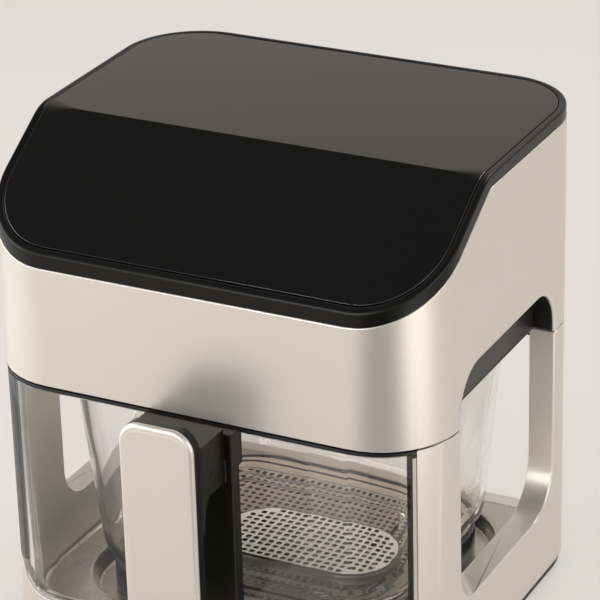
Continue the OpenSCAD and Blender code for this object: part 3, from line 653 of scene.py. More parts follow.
VESSEL_GLASS = FootedGlass(
    "clear_vessel_glass", (251, 251, 250), (249, 249, 248), 0.0, 0.006, index=1.42,
)
PANE_GLASS = ClearGlass(
    "clear_pane_glass", (251, 250, 249), (249, 248, 247), 0.0, 0.005, index=1.36,
    ripple_scale=9.0, ripple_depth=0.00015,
)


# ------------------------------------------------------------------ surfaces


def rounded_outline(sizes: np.ndarray, per_corner: int, per_side: int) -> np.ndarray:
    """Rounded rectangles around the origin, one for each row of sizes.

    Each corner is an arc about the point one radius in from both sides: centre plus
    radius times (cos t, sin t), for t over a quarter turn. Between two arcs lie evenly
    spaced points of the straight side.

    Args:
        sizes: Half width, half depth and corner radius in each row.
        per_corner: Steps in each arc.
        per_side: Steps in each straight side.

    Returns:
        Points of shape (rows, points, 2), anticlockwise from the right side's rear end.
    """
    a, b, r = (column[:, None, None] for column in np.asarray(sizes, float).T)
    sign = np.array([[1, 1], [-1, 1], [-1, -1], [1, -1]], float)[None, :, None, :]
    turn = np.linspace(0, math.pi / 2, per_corner + 1)
    angle = (np.arange(4)[:, None] * math.pi / 2 + turn[None, :])[None]
    centre = sign * np.stack([a - r, b - r], -1)
    arcs = centre + r[..., None] * np.stack([np.cos(angle), np.sin(angle)], -1)
    following = np.roll(arcs[:, :, :1], -1, axis=1)
    share = np.linspace(0, 1, per_side + 1)[None, None, 1:-1, None]
    sides = arcs[:, :, -1:] * (1 - share) + following * share
    whole = np.concatenate([arcs, sides], axis=2)
    return whole.reshape(len(whole), -1, 2)


def grid_quads(
    rows: int, columns: int, wrap_rows: bool = False, wrap_columns: bool = False
) -> np.ndarray:
    """Faces of a grid: each joins a point with its right, upper right and upper neighbour.

    Args:
        rows: Rows of points.
        columns: Points in each row.
        wrap_rows: Whether the last row joins the first.
        wrap_columns: Whether the last point of a row joins its first.

    Returns:
        Indices of shape (faces, 4).
    """
    i = np.arange(rows if wrap_rows else rows - 1)[:, None]
    j = np.arange(columns if wrap_columns else columns - 1)[None, :]
    up, right = (i + 1) % rows, (j + 1) % columns
    corners = (i * columns + j, i * columns + right, up * columns + right, up * columns + j)
    return np.stack(np.broadcast_arrays(*corners), -1).reshape(-1, 4)


def make_mesh(name: str, points: np.ndarray, groups: Sequence[np.ndarray]) -> bpy.types.Mesh:
    """Mesh from points in millimetres and groups of faces with the same count of corners.

    Args:
        name: Name of the mesh.
        points: Points of shape (n, 3).
        groups: Index arrays of shape (faces, corners).

    Returns:
        The mesh in metres, with doubles merged and faces turned outwards.
    """
    points = np.asarray(points, float).reshape(-1, 3)
    mesh = bpy.data.meshes.new(name)
    mesh.vertices.add(len(points))
    mesh.vertices.foreach_set("co", (points * MM).astype(np.float32).ravel())
    totals = np.concatenate([np.full(len(g), g.shape[1]) for g in groups])
    corners = np.concatenate([g.ravel() for g in groups])
    mesh.loops.add(len(corners))
    mesh.loops.foreach_set("vertex_index", corners.astype(np.int32))
    mesh.polygons.add(len(totals))
    starts = np.concatenate([[0], np.cumsum(totals)[:-1]])
    mesh.polygons.foreach_set("loop_start", starts.astype(np.int32))
    mesh.update(calc_edges=True)
    work = bmesh.new()
    work.from_mesh(mesh)
    bmesh.ops.remove_doubles(work, verts=work.verts, dist=2e-7)
    bmesh.ops.recalc_face_normals(work, faces=work.faces)
    work.to_mesh(mesh)
    work.free()
    return mesh


def in_body(
    outline: np.ndarray, heights: np.ndarray, middle: float = 0.0, side: float = 0.0
) -> np.ndarray:
    """Puts outlines about the body's middle: x and y from the outline, z from the heights.

    Args:
        outline: Outlines of shape (rows, points, 2).
        heights: A height for each row, or for each point.
        middle: How far the outlines' middle lies behind the body's.
        side: How far it lies to the right of the body's.

    Returns:
        Points of shape (rows, points, 3).
    """
    rows, count, _ = outline.shape
    z = np.broadcast_to(np.asarray(heights, float).reshape(rows, -1), (rows, count))
    return np.stack([outline[..., 0] + side, outline[..., 1] + BODY_Y + middle, z], -1)


def quarter(steps: int) -> tuple[np.ndarray, np.ndarray]:
    """Both coordinates of a quarter circle of radius one.

    Args:
        steps: Steps over the quarter turn t.

    Returns:
        1 - cos t, which grows from 0 to 1, and 1 - sin t, which falls from 1 to 0.
    """
    turn = np.linspace(0, math.pi / 2, steps + 1)
    return 1 - np.cos(turn), 1 - np.sin(turn)


def smooth(share: np.ndarray) -> np.ndarray:
    """Share from 0 to 1 that leaves and arrives level: 3 t^2 - 2 t^3."""
    share = np.clip(share, 0, 1)
    return share * share * (3 - 2 * share)


def section_rows(size: Sequence[float], inset: Any, height: Any) -> np.ndarray:
    """Rows of a section: half width, half depth, corner radius and height.

    Args:
        size: Half width, half depth and corner radius where the inset is zero.
        inset: How far each row lies further in.
        height: Height of each row.

    Returns:
        Rows of shape (n, 4).
    """
    inset, height = np.broadcast_arrays(np.atleast_1d(inset), height)
    return np.column_stack([np.asarray(size) - inset[:, None], height])


def lathe_solid(name: str, rows: np.ndarray) -> bpy.types.Mesh:
    """Closed mesh of stacked outlines: quads between rows, a flat face at each end.

    Args:
        name: Name of the mesh.
        rows: Points of shape (outlines, points, 3) in millimetres.

    Returns:
        The mesh.
    """
    count, around = rows.shape[:2]
    walls = grid_quads(count, around, wrap_columns=True)
    first = np.arange(around)[None, ::-1]
    last = (np.arange(around) + (count - 1) * around)[None, :]
    return make_mesh(name, rows.reshape(-1, 3), [walls, first, last])


def ring_solid(name: str, rows: np.ndarray) -> bpy.types.Mesh:
    """Closed mesh of a profile that is carried round an outline.

    Args:
        name: Name of the mesh.
        rows: Points of shape (profile points, outline points, 3) in millimetres.

    Returns:
        The mesh.
    """
    return make_mesh(name, rows, [grid_quads(*rows.shape[:2], True, True)])


def read(items: Any, name: str, size: int = 1, kind: type = np.int32) -> np.ndarray:
    """Values of one property of a mesh's elements.

    Args:
        items: Vertices, edges, loops or faces.
        name: Name of the property.
        size: Numbers for each element.
        kind: Type of the numbers.

    Returns:
        Values of shape (elements,), or (elements, size) where the size is above one.
    """
    values = np.empty(len(items) * size, kind)
    items.foreach_get(name, values)
    return values.reshape(-1, size) if size > 1 else values


def edge_angles(mesh: bpy.types.Mesh) -> tuple[np.ndarray, np.ndarray]:
    """Angle between the two faces of each edge, and each edge's middle.

    The angle is the arc cosine of the product of both face normals.

    Args:
        mesh: Mesh to measure.

    Returns:
        Angles in degrees, and middles in millimetres.
    """
    of_loop = read(mesh.loops, "edge_index")
    totals = read(mesh.polygons, "loop_total")
    normals = read(mesh.polygons, "normal", 3, np.float32)
    face = np.repeat(np.arange(len(totals)), totals)
    order = np.argsort(of_loop, kind="stable")
    count = np.bincount(of_loop, minlength=len(mesh.edges))
    start = np.concatenate([[0], np.cumsum(count)[:-1]])
    one, two = (face[order[np.minimum(start + k, len(of_loop) - 1)]] for k in (0, 1))
    cosine = np.clip((normals[one] * normals[two]).sum(1), -1, 1)
    angles = np.where(count == 2, np.degrees(np.arccos(cosine)), 0.0)
    ends, places = read(mesh.edges, "vertices", 2), read(mesh.vertices, "co", 3, np.float32)
    return angles, places[ends].mean(1) / MM


def set_values(mesh: bpy.types.Mesh, name: str, domain: str, values: np.ndarray) -> None:
    """Writes one number for each element of a domain of the mesh.

    Args:
        mesh: Mesh to write on.
        name: Name of the attribute.
        domain: Kind of element, such as EDGE or CORNER.
        values: One number or truth value for each element.
    """
    kind = "BOOLEAN" if values.dtype == bool else "FLOAT"
    held = mesh.attributes.get(name) or mesh.attributes.new(name, kind, domain)
    held.data.foreach_set("value", values)


@dataclass(frozen=True)
class Ease:
    """How edges are rounded.

    The width is in millimetres, and a rule gives widths by the edges' middles where they
    differ. An edge is rounded from the sharp angle on, which is in degrees.
    """

    width: float = 0.0
    segments: int = 3
    sharp: float = 28.0
    rule: Optional[Callable[[np.ndarray], np.ndarray]] = None

    def widths(self, middles: np.ndarray) -> np.ndarray:
        """Width of the rounding at each edge's middle."""
        return self.rule(middles) if self.rule else np.full(len(middles), self.width)


def finished(
    mesh: bpy.types.Mesh, name: str, finish: Finish, ease: Ease, thickness: float = 0.0
) -> bpy.types.Object:
    """Object with rounded edges, smooth shading and a mark on its rounded faces.

    Args:
        mesh: Closed mesh in metres, or an open sheet where a thickness is given.
        name: Name of the piece.
        finish: Its finish.
        ease: How its edges are rounded.
        thickness: Thickness in millimetres that a sheet gets on its inner side.

    Returns:
        The finished object, with nothing live on it.
    """
    material = finish.build()
    mesh.materials.clear()
    mesh.materials.append(material)
    mesh.materials.append(material)
    piece = placed(name, mesh)
    if thickness:
        solid = piece.modifiers.new("thickness", "SOLIDIFY")
        solid.thickness, solid.offset = thickness * MM, -1.0
        solid.use_even_offset = True
        apply_modifiers(piece)
    mesh = piece.data
    angles, middles = edge_angles(mesh)
    widths = ease.widths(middles)
    largest = max(float(widths.max()), 1e-6)
    weights = np.where(angles > ease.sharp, widths / largest, 0.0).astype(np.float32)
    set_values(mesh, "bevel_weight_edge", "EDGE", weights)
    set_values(mesh, "sharp_edge", "EDGE", (angles > ease.sharp) & (weights == 0))
    mesh.polygons.foreach_set("use_smooth", np.ones(len(mesh.polygons), bool))
    rounding = piece.modifiers.new("rounding", "BEVEL")
    rounding.limit_method, rounding.width = "WEIGHT", largest * MM
    rounding.segments, rounding.use_clamp_overlap = ease.segments, False
    rounding.material = 1
    even = piece.modifiers.new("even", "WEIGHTED_NORMAL")
    even.keep_sharp, even.weight = True, 60
    apply_modifiers(piece)
    mark_edges(piece.data)
    return piece


def apply_modifiers(piece: bpy.types.Object) -> None:
    """Bakes an object's modifiers into its mesh.

    Args:
        piece: The object.
    """
    bpy.context.view_layer.update()
    ready = piece.evaluated_get(bpy.context.evaluated_depsgraph_get())
    mesh = bpy.data.meshes.new_from_object(ready)
    mesh.name = piece.name
    old = piece.data
    piece.modifiers.clear()
    piece.data = mesh
    bpy.data.meshes.remove(old)


def mark_edges(mesh: bpy.types.Mesh) -> None:
    """Moves the mark on rounded faces from their material number to the attribute edge.

    Args:
        mesh: Mesh whose rounded faces have material number 1.
    """
    number = read(mesh.polygons, "material_index")
    marks = np.repeat(number, read(mesh.polygons, "loop_total"))
    set_values(mesh, "edge", "CORNER", marks.astype(np.float32))
    mesh.polygons.foreach_set("material_index", np.zeros_like(number))
    material = mesh.materials[0]
    mesh.materials.clear()
    mesh.materials.append(material)


def copy_of(node: str) -> bpy.types.Mesh:
    """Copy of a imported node's mesh with its loose triangles merged into flat faces.

    Args:
        node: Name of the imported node.

    Returns:
        The copy in metres.
    """
    work = bmesh.new()
    work.from_mesh(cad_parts[node].data)
    bmesh.ops.remove_doubles(work, verts=work.verts, dist=3e-5)
    bmesh.ops.dissolve_limit(
        work, angle_limit=math.radians(0.4), verts=work.verts, edges=work.edges
    )
    mesh = bpy.data.meshes.new(node)
    work.to_mesh(mesh)
    work.free()
    return mesh


# ------------------------------------------------------------------ sub-assemblies


class SubAssembly:
    """A group of pieces on one body."""

    body = Body.BASE

    def add(self, piece: bpy.types.Object, slot: str, *nodes: str) -> None:
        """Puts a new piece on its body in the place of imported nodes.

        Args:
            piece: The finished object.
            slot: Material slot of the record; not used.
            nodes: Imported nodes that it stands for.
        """
        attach(piece, self.body.value)
        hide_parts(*nodes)
        log.info(
            "%s: %d faces, %s, for %s",
            piece.name, len(piece.data.polygons), piece.data.materials[0].name, ", ".join(nodes),
        )

    def eased(self, node: str, slot: str, finish: Finish, ease: Ease) -> None:
        """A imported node's shape with rounded edges, as a piece of its own.

        Args:
            node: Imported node.
            slot: Material slot of the record.
            finish: Its finish.
            ease: How its edges are rounded.
        """
        self.add(finished(copy_of(node), f"{node}_eased", finish, ease), slot, node)

    def dress(self, finish: Finish, *nodes: str) -> None:
        """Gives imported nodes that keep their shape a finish.

        Args:
            finish: The finish.
            nodes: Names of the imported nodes.
        """
        for node in nodes:
            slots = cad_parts[node].data.materials
            slots.clear()
            slots.append(finish.build())
            log.info("%s: kept, %s", node, finish.name)


@dataclass
class Roof:
    """The bent top: flat behind the crease, sloped in front of it."""

    top: float = ROOF_Z
    crease: float = -33.5
    drop: float = 56.0
    run: float = 91.0
    bend: float = 30.0

    @property
    def slope(self) -> float:
        """Angle of the sloped part in radians."""
        return math.atan2(self.drop, self.run)

    def height(
        self, y: np.ndarray, depth: np.ndarray, bend: Optional[np.ndarray] = None
    ) -> np.ndarray:
        """Height of the top surface moved inwards by a depth.

        Behind the arc's centre it is flat. In the arc it is the centre's height plus the
        root of radius squared minus distance squared. In front it falls with the slope.

        Args:
            y: Places from the body's middle, to the rear.
            depth: How far the surface is moved inwards.
            bend: Radius of the bend, where it isn't the usual one.

        Returns:
            Heights above the floor.
        """
        bend = np.asarray(self.bend if bend is None else bend, float)
        centre_y = self.crease + bend * math.tan(self.slope / 2)
        centre_z = self.top - bend
        radius = bend - depth
        end_y = centre_y - radius * math.sin(self.slope)
        end_z = centre_z + radius * math.cos(self.slope)
        arc = centre_z + np.sqrt(np.maximum(radius**2 - (y - centre_y) ** 2, 0))
        sloped = end_z - (end_y - y) * math.tan(self.slope)
        return np.where(y >= centre_y, self.top - depth, np.where(y > end_y, arc, sloped))


@dataclass
class Head(SubAssembly):
    """Metal head with its bezel and bent black glass, the pod and what is inside."""

    roof: Roof
    corner: float = 50.0
    bezel_inset: float = 0.4
    bezel_w: float = 5.0
    bezel_h: float = 7.9
    bezel_r: float = 1.3
    bezel_sink: float = 0.1
    bezel_lip: Profile = (
        (-1.7, 0.05), (-1.1, 0.32), (-0.5, 0.42), (-0.1, 0.62), (0.0, 0.95),
    )
    ledge_w: float = 6.0
    ledge_depth: float = 3.2
    glass_t: float = 3.0
    glass_gap: float = 0.45
    glass_sink: float = 0.2
    crease_bend: float = 1.2
    bend_margin: float = 22.0
    near_crease: float = 1.5
    by_crease: float = 10.0
    glass_steps: tuple[int, ...] = (8, 10, 13, 10, 14)
    to_sides: float = 0.55
    window_top: float = 207.0
    window_y: float = -3.0
    window_half: float = 72.0
    shell_t: float = 1.5
    edge: float = 0.7
    inner_edge: float = 0.25

    def build(self) -> None:
        """Builds the outside, then dresses what is inside."""
        self.shell()
        self.bezel()
        self.glass()
        self.linings()
        self.rear()
        self.inside()

    def shell(self) -> None:
        """Metal skin, with a wider rounding on the lips of its side windows."""

        def widths(middle: np.ndarray) -> np.ndarray:
            """Rounding by place: outer lips of the windows, outer edges, inner edges.

            Args:
                middle: Middles of the edges.

            Returns:
                Widths of the rounding.
            """
            x, y = np.abs(middle[:, 0]), middle[:, 1] - BODY_Y
            window = (x > HALF_W - SKIN) & (middle[:, 2] < self.window_top)
            window &= np.abs(y - self.window_y) < self.window_half
            inner = (x < HALF_W - self.shell_t) & (np.abs(y) < HALF_D - self.shell_t)
            return np.where(window, LIP, np.where(inner, self.inner_edge, self.edge))

        self.eased("head_shell", "champagne_metal", CHAMPAGNE, Ease(segments=4, rule=widths))

    def bezel(self) -> None:
        """Black ring around the top glass: a closed profile carried round the outline.

        A profile point lies a distance in from the outline and a depth under the roof.
        """
        outer = np.stack(quarter(5), 1) * self.bezel_r
        low, ledge = self.bezel_h, self.bezel_w + self.ledge_w
        profile = np.vstack([
            [[self.bezel_inset, low], [self.bezel_inset, low / 2]],
            outer + [self.bezel_inset, self.bezel_sink],
            np.array(self.bezel_lip) + [self.bezel_w, 0],
            [[self.bezel_w, self.ledge_depth], [ledge, self.ledge_depth], [ledge, low]],
        ])
        inset, depth = profile[:, :1], profile[:, 1:]
        outline = rounded_outline(np.array([HALF_W, HALF_D, self.corner]) - inset, 20, 64)
        mesh = ring_solid("bezel", in_body(outline, self.roof.height(outline[..., 1], depth)))
        piece = finished(mesh, "top_bezel_ring", BEZEL, Ease(0.2, 2, 60.0))
        self.add(piece, "bezel_black", "top_bezel")

    def glass(self) -> None:
        """Bent black glass on a grid.

        Rows follow the corner arcs, so each row's half width is the outline's there, and
        columns divide it evenly. The bend is tight inside and as wide as the bezel's at
        the sides, with a smooth step between.
        """
        inset = self.bezel_w + self.glass_gap
        a, b, r = HALF_W - inset, HALF_D - inset, self.corner - inset
        rise, fall = quarter(16)
        crease = self.roof.crease
        near, by = self.near_crease, self.by_crease
        stops = (-b + r, crease - by, crease - near, crease + near, crease + by, b - r)
        middle = np.concatenate([
            np.linspace(start, end, count)[1:]
            for start, end, count in zip(stops, stops[1:], self.glass_steps)
        ])
        y = np.concatenate([-b + r * rise, middle, b - r * fall[1:]])
        half = a - r * np.concatenate([fall, np.zeros(len(middle)), rise[1:]])
        share = np.sin(np.linspace(-math.pi / 2, math.pi / 2, 61))
        share = self.to_sides * share + (1 - self.to_sides) * np.linspace(-1, 1, 61)
        x = half[:, None] * share[None, :]
        step = smooth((a - np.abs(x)) / self.bend_margin)
        bend = self.roof.bend + (self.crease_bend - self.roof.bend) * step
        yy = np.broadcast_to(y[:, None], x.shape)
        z = self.roof.height(yy, np.full_like(x, self.glass_sink), bend)
        points = np.stack([x, yy + BODY_Y, z], -1)
        mesh = make_mesh("glass", points, [grid_quads(*x.shape)])
        piece = finished(
            mesh, "top_glass_bent", TOP_GLASS, Ease(0.55, 3, 50.0), thickness=self.glass_t
        )
        self.add(piece, "black_glass", "top_glass")

    def linings(self) -> None:
        """Black lining of the windows, and the pod over the vessel."""
        self.eased("head_chassis", "black_plastic", BLACK_PLASTIC, Ease(0.5, 2))
        self.eased("inner_pod", "black_plastic", POD_LINING, Ease(0.8, 3))
        self.eased("vessel_seal", "rubber", SILICONE, Ease(0.12, 2))

    def rear(self) -> None:
        """Vent and cord bushing in the back."""
        self.eased("rear_vent", "black_plastic", BLACK_PLASTIC, Ease(0.35, 2))
        self.eased("cord_inlet", "rubber", RUBBER, Ease(0.5, 3, 40.0))

    def inside(self) -> None:
        """Finishes of everything inside the head."""
        self.dress(STEEL, "pod_screws", "heat_shield", "heater_clips", "motor_bracket",
                   "grille_screws", "temperature_probe")
        self.dress(DARK_STEEL, "heater_ring", "guard_grille")
        self.dress(BOARD, "display_board", "power_board")
        self.dress(BOARD_PARTS, "power_parts")
        self.dress(DISPLAY, "display_module")
        self.dress(MOTOR, "fan_motor")
        self.dress(BLACK_ENAMEL, "thermal_cutout")
        self.dress(NYLON, "reed_switch")


@dataclass
class Base(SubAssembly):
    """Metal frame with its tray, the plinth and the hot plate."""

    corner: float = 50.0
    tray_a: float = 132.6
    tray_b: float = 112.0
    tray_r: float = 31.0
    tray_z: float = 17.0
    fillet: float = 3.2
    recess_a: float = 114.0
    recess_b: float = 101.0
    recess_r: float = 52.0
    recess_z: float = 7.0
    recess_run: float = 5.0
    floor_insets: tuple[float, float] = (12.0, 5.8)
    fade_from: float = 70.0
    fade_over: float = 35.0
    sheet: float = 1.4
    middle: float = 4.0
    plate_r: float = 45.7
    hole_pitch: float = 5.4
    hole_side: float = 3.4
    hole_margin: float = 13.0
    hole_lean: float = 6.0
    sill_z: float = 15.0
    slant_y: float = -15.0
    slant_top: float = 78.0
    slant_lip: float = 0.3
    post_in: float = 135.6
    post_out: float = 147.0
    post_y: float = 118.0
    edge: float = 0.6

    def build(self) -> None:
        """Builds the frame, tray, plinth and hot plate."""
        self.frame()
        self.tray()
        self.plinth()
        self.hot_plate()
        self.dress(STEEL, "frame_bolts", "base_screws", "base_heater_clips")
        self.dress(DARK_STEEL, "base_heater")
        self.dress(BLACK_ENAMEL, "base_thermostat")
        self.dress(WIRE, "wire_harness")

    def frame(self) -> None:
        """Four posts and their sills, with wide lips on the side windows."""

        def widths(middle: np.ndarray) -> np.ndarray:
            """Rounding by place: window lips, sill and post edges, everything inside.

            The lip is narrow where the slanting cut comes close to the outer face.

            Args:
                middle: Middles of the edges.

            Returns:
                Widths of the rounding.
            """
            x, y = np.abs(middle[:, 0]), middle[:, 1] - BODY_Y
            outside = (x > HALF_W - SKIN) & (middle[:, 2] > self.sill_z)
            narrow = outside & (y < self.slant_y) & (middle[:, 2] < self.slant_top)
            hidden = (x > self.post_in) & (x < self.post_out) & (np.abs(y) < self.post_y)
            hidden |= middle[:, 2] < self.sill_z + 1
            width = np.where(outside, LIP, np.where(hidden, 0.0, self.edge))
            return np.where(narrow, self.slant_lip, width)

        ease = Ease(segments=4, sharp=26.0, rule=widths)
        self.eased("lower_frame", "champagne_metal", CHAMPAGNE, ease)

    def tray(self) -> None:
        """Pressed floor: outlines from the recess's floor out to the raised rim.

        The section is a flat floor, a curve up the recess's wall, a flat ledge and a
        hollow curve up to the frame, which dies away to the rear. The lower side follows
        it one sheet further down.
        """
        turn = np.linspace(0, 1, 7)
        rise, fall = quarter(6)
        size = (self.recess_a, self.recess_b, self.recess_r)
        curve = (self.tray_z - self.recess_z) * (0.5 - 0.5 * np.cos(math.pi * turn))
        floor = section_rows(size, self.floor_insets, self.recess_z)
        recess = section_rows(size, self.recess_run * (1 - turn), self.recess_z + curve)
        rim = section_rows(
            (self.tray_a, self.tray_b, self.tray_r),
            self.fillet * fall, self.tray_z + self.fillet * rise,
        )
        share = np.linspace(0, 1, 5)[1:-1, None]
        ledge = recess[-1] * (1 - share) + rim[0] * share
        ledge[:, 3] = self.tray_z
        upper = np.vstack([floor, recess, ledge, rim])
        shift = np.linspace(1, 0, len(upper)) * self.middle
        under = upper[::-1].copy()
        under[:, 3] -= self.sheet
        section = np.vstack([upper, under])
        shift = np.concatenate([shift, shift[::-1]])
        outline = rounded_outline(section[:, :3], 14, 10)
        outline[..., 1] += shift[:, None]
        raised = np.maximum(section[:, 3:4] - self.tray_z, 0)
        fade = smooth((outline[..., 1] - self.fade_from) / self.fade_over)
        mesh = lathe_solid("tray", in_body(outline, section[:, 3:4] - raised * fade))
        piece = finished(mesh, "pressed_tray", SHADED_TRAY_METAL, Ease(0.25, 2, 50.0))
        self.add(piece, "champagne_metal", "base_tray")

    def plinth(self) -> None:
        """Black plinth and its feet."""
        self.eased("base_pan", "black_plastic", BLACK_PLASTIC, Ease(0.5, 2, 40.0))
        self.eased("feet", "rubber", RUBBER, Ease(0.4, 2, 40.0))

    def hot_plate(self) -> None:
        """Enamelled housing with a perforated plate in it."""
        self.eased("hot_plate_housing", "black_plastic", BLACK_ENAMEL, Ease(1.1, 4, 40.0))
        (_, _, z), (a, b, half) = box_of("diffuser_plate")
        sheet = Perforated(a, b, self.plate_r, self.hole_pitch, self.hole_side,
                           self.hole_margin, self.hole_lean)
        mesh = sheet.mesh("diffuser", z - half, z + half, self.middle)
        # Painted shade: the diffuser's hole walls and underside get the darker colour.
        hole_shaded = replace(DIFFUSER, split_z=(z + half - HOLE_SHADE_DEPTH) * MM)
        piece = finished(mesh, "diffuser_fine", hole_shaded, Ease(0.0, 1, 40.0))
        self.add(piece, "steel", "diffuser_plate")


@dataclass
class Perforated:
    """Flat sheet with rounded corners and a square grid of holes inside a margin."""

    a: float
    b: float
    r: float
    pitch: float
    hole: float
    margin: float
    lean: float = 0.0
    border: float = 0.1
    chamfer: float = 0.3

    def distance(self, points: np.ndarray, inset: float = 0.0) -> np.ndarray:
        """Distance to the outline, negative inside.

        It is the length of what reaches past the corner centres, less the radius, plus
        the larger of both where nothing does.

        Args:
            points: Points of shape (..., 2) around the middle.
            inset: How far the outline is moved inwards.

        Returns:
            A distance for each point.
        """
        q = np.abs(points) - np.array([self.a - self.r, self.b - self.r])
        outer = np.hypot(np.maximum(q[..., 0], 0), np.maximum(q[..., 1], 0))
        return outer + np.minimum(np.maximum(q[..., 0], q[..., 1]), 0) - self.r + inset

    def snap(self, points: np.ndarray) -> np.ndarray:
        """Moves points onto the outline along the way that the distance grows.

        Args:
            points: Points of shape (..., 2) around the middle.

        Returns:
            The moved points.
        """
        step = 0.01
        here = self.distance(points)
        east = self.distance(points + [step, 0]) - here
        north = self.distance(points + [0, step]) - here
        way = np.stack([east, north], -1) / step
        length = np.maximum(np.linalg.norm(way, axis=-1, keepdims=True), 1e-6)
        return points - way / length * here[..., None]

    def mesh(
        self, name: str, low: float, high: float, middle: float, side: float = 0.0
    ) -> bpy.types.Mesh:
        """Closed mesh of the sheet.

        The sheet is a lattice of square cells. Cells whose middle lies outside are left
        out, corners on the border are moved onto the outline, and each cell well inside
        gets an eight-sided hole with walls.

        Args:
            name: Name of the mesh.
            low: Height of the lower side.
            high: Height of the upper side.
            middle: Place of the middle from the body's, to the rear.
            side: Place of the middle from the body's, to the right.

        Returns:
            The mesh.
        """
        nx, ny = math.ceil(self.a / self.pitch) + 1, math.ceil(self.b / self.pitch) + 1
        gx = (np.arange(-nx, nx + 1) + 0.5) * self.pitch
        gy = (np.arange(-ny, ny + 1) + 0.5) * self.pitch
        lattice = np.stack(np.meshgrid(gx, gy, indexing="ij"), -1)
        centres = lattice[:-1, :-1] + self.pitch / 2
        kept = self.distance(centres) < -self.border * self.pitch
        padded = np.pad(kept, 1)
        around = np.stack([padded[1:, 1:], padded[1:, :-1], padded[:-1, 1:], padded[:-1, :-1]])
        used, border = around.any(0), around.any(0) & ~around.all(0)
        flat = np.where(border[..., None], self.snap(lattice), lattice)
        number = np.cumsum(used.ravel()).reshape(used.shape) - 1
        base = flat[used]
        corners = np.stack(
            [number[:-1, :-1], number[1:, :-1], number[1:, 1:], number[:-1, 1:]], -1
        )
        holed = kept & (self.distance(centres + [0, self.lean], self.margin) < 0)
        plain = corners[kept & ~holed]
        ring = corners[holed]
        half, cut = self.hole / 2, self.hole * self.chamfer
        shape = np.array([[-cut, -half], [cut, -half], [half, -cut], [half, cut],
                          [cut, half], [-cut, half], [-half, cut], [-half, -cut]])
        rims = (centres[holed][:, None, :] + shape[None]).reshape(-1, 2)
        count, holes = len(base), len(ring)
        rim = count + np.arange(holes * 8).reshape(-1, 8)
        edge = np.arange(4)
        sides = np.stack(
            [ring[:, edge], ring[:, (edge + 1) % 4], rim[:, edge * 2 + 1], rim[:, edge * 2]], -1
        ).reshape(-1, 4)
        wedge = np.stack([ring[:, edge], rim[:, edge * 2], rim[:, edge * 2 - 1]], -1)
        total = count + holes * 8
        sheet = np.broadcast_to(np.vstack([base, rims]), (2, total, 2))
        step = np.arange(8)
        walls = np.stack([rim[:, step], rim[:, (step + 1) % 8],
                          rim[:, (step + 1) % 8] + total, rim[:, step] + total], -1)
        quads = np.vstack([plain, sides])
        triangles = wedge.reshape(-1, 3)
        outer = self._outer_walls(corners, kept, total)
        return make_mesh(
            name, in_body(sheet, [high, low], middle, side),
            [quads, quads[:, ::-1] + total, triangles, triangles[:, ::-1] + total,
             walls.reshape(-1, 4), outer],
        )

    @staticmethod
    def _outer_walls(corners: np.ndarray, kept: np.ndarray, total: int) -> np.ndarray:
        """Walls under the cell sides that only one cell has.

        Args:
            corners: Point numbers of each cell.
            kept: Cells that are part of the sheet.
            total: Points in the upper side, which the lower side repeats.

        Returns:
            Indices of shape (faces, 4).
        """
        cells = corners[kept]
        edges = np.concatenate([cells[:, [k, (k + 1) % 4]] for k in range(4)])
        key = np.sort(edges, axis=1)
        _, place, count = np.unique(key, axis=0, return_index=True, return_counts=True)
        single = edges[place[count == 1]]
        return np.column_stack([single[:, 1], single[:, 0], single[:, 0] + total,
                                single[:, 1] + total])


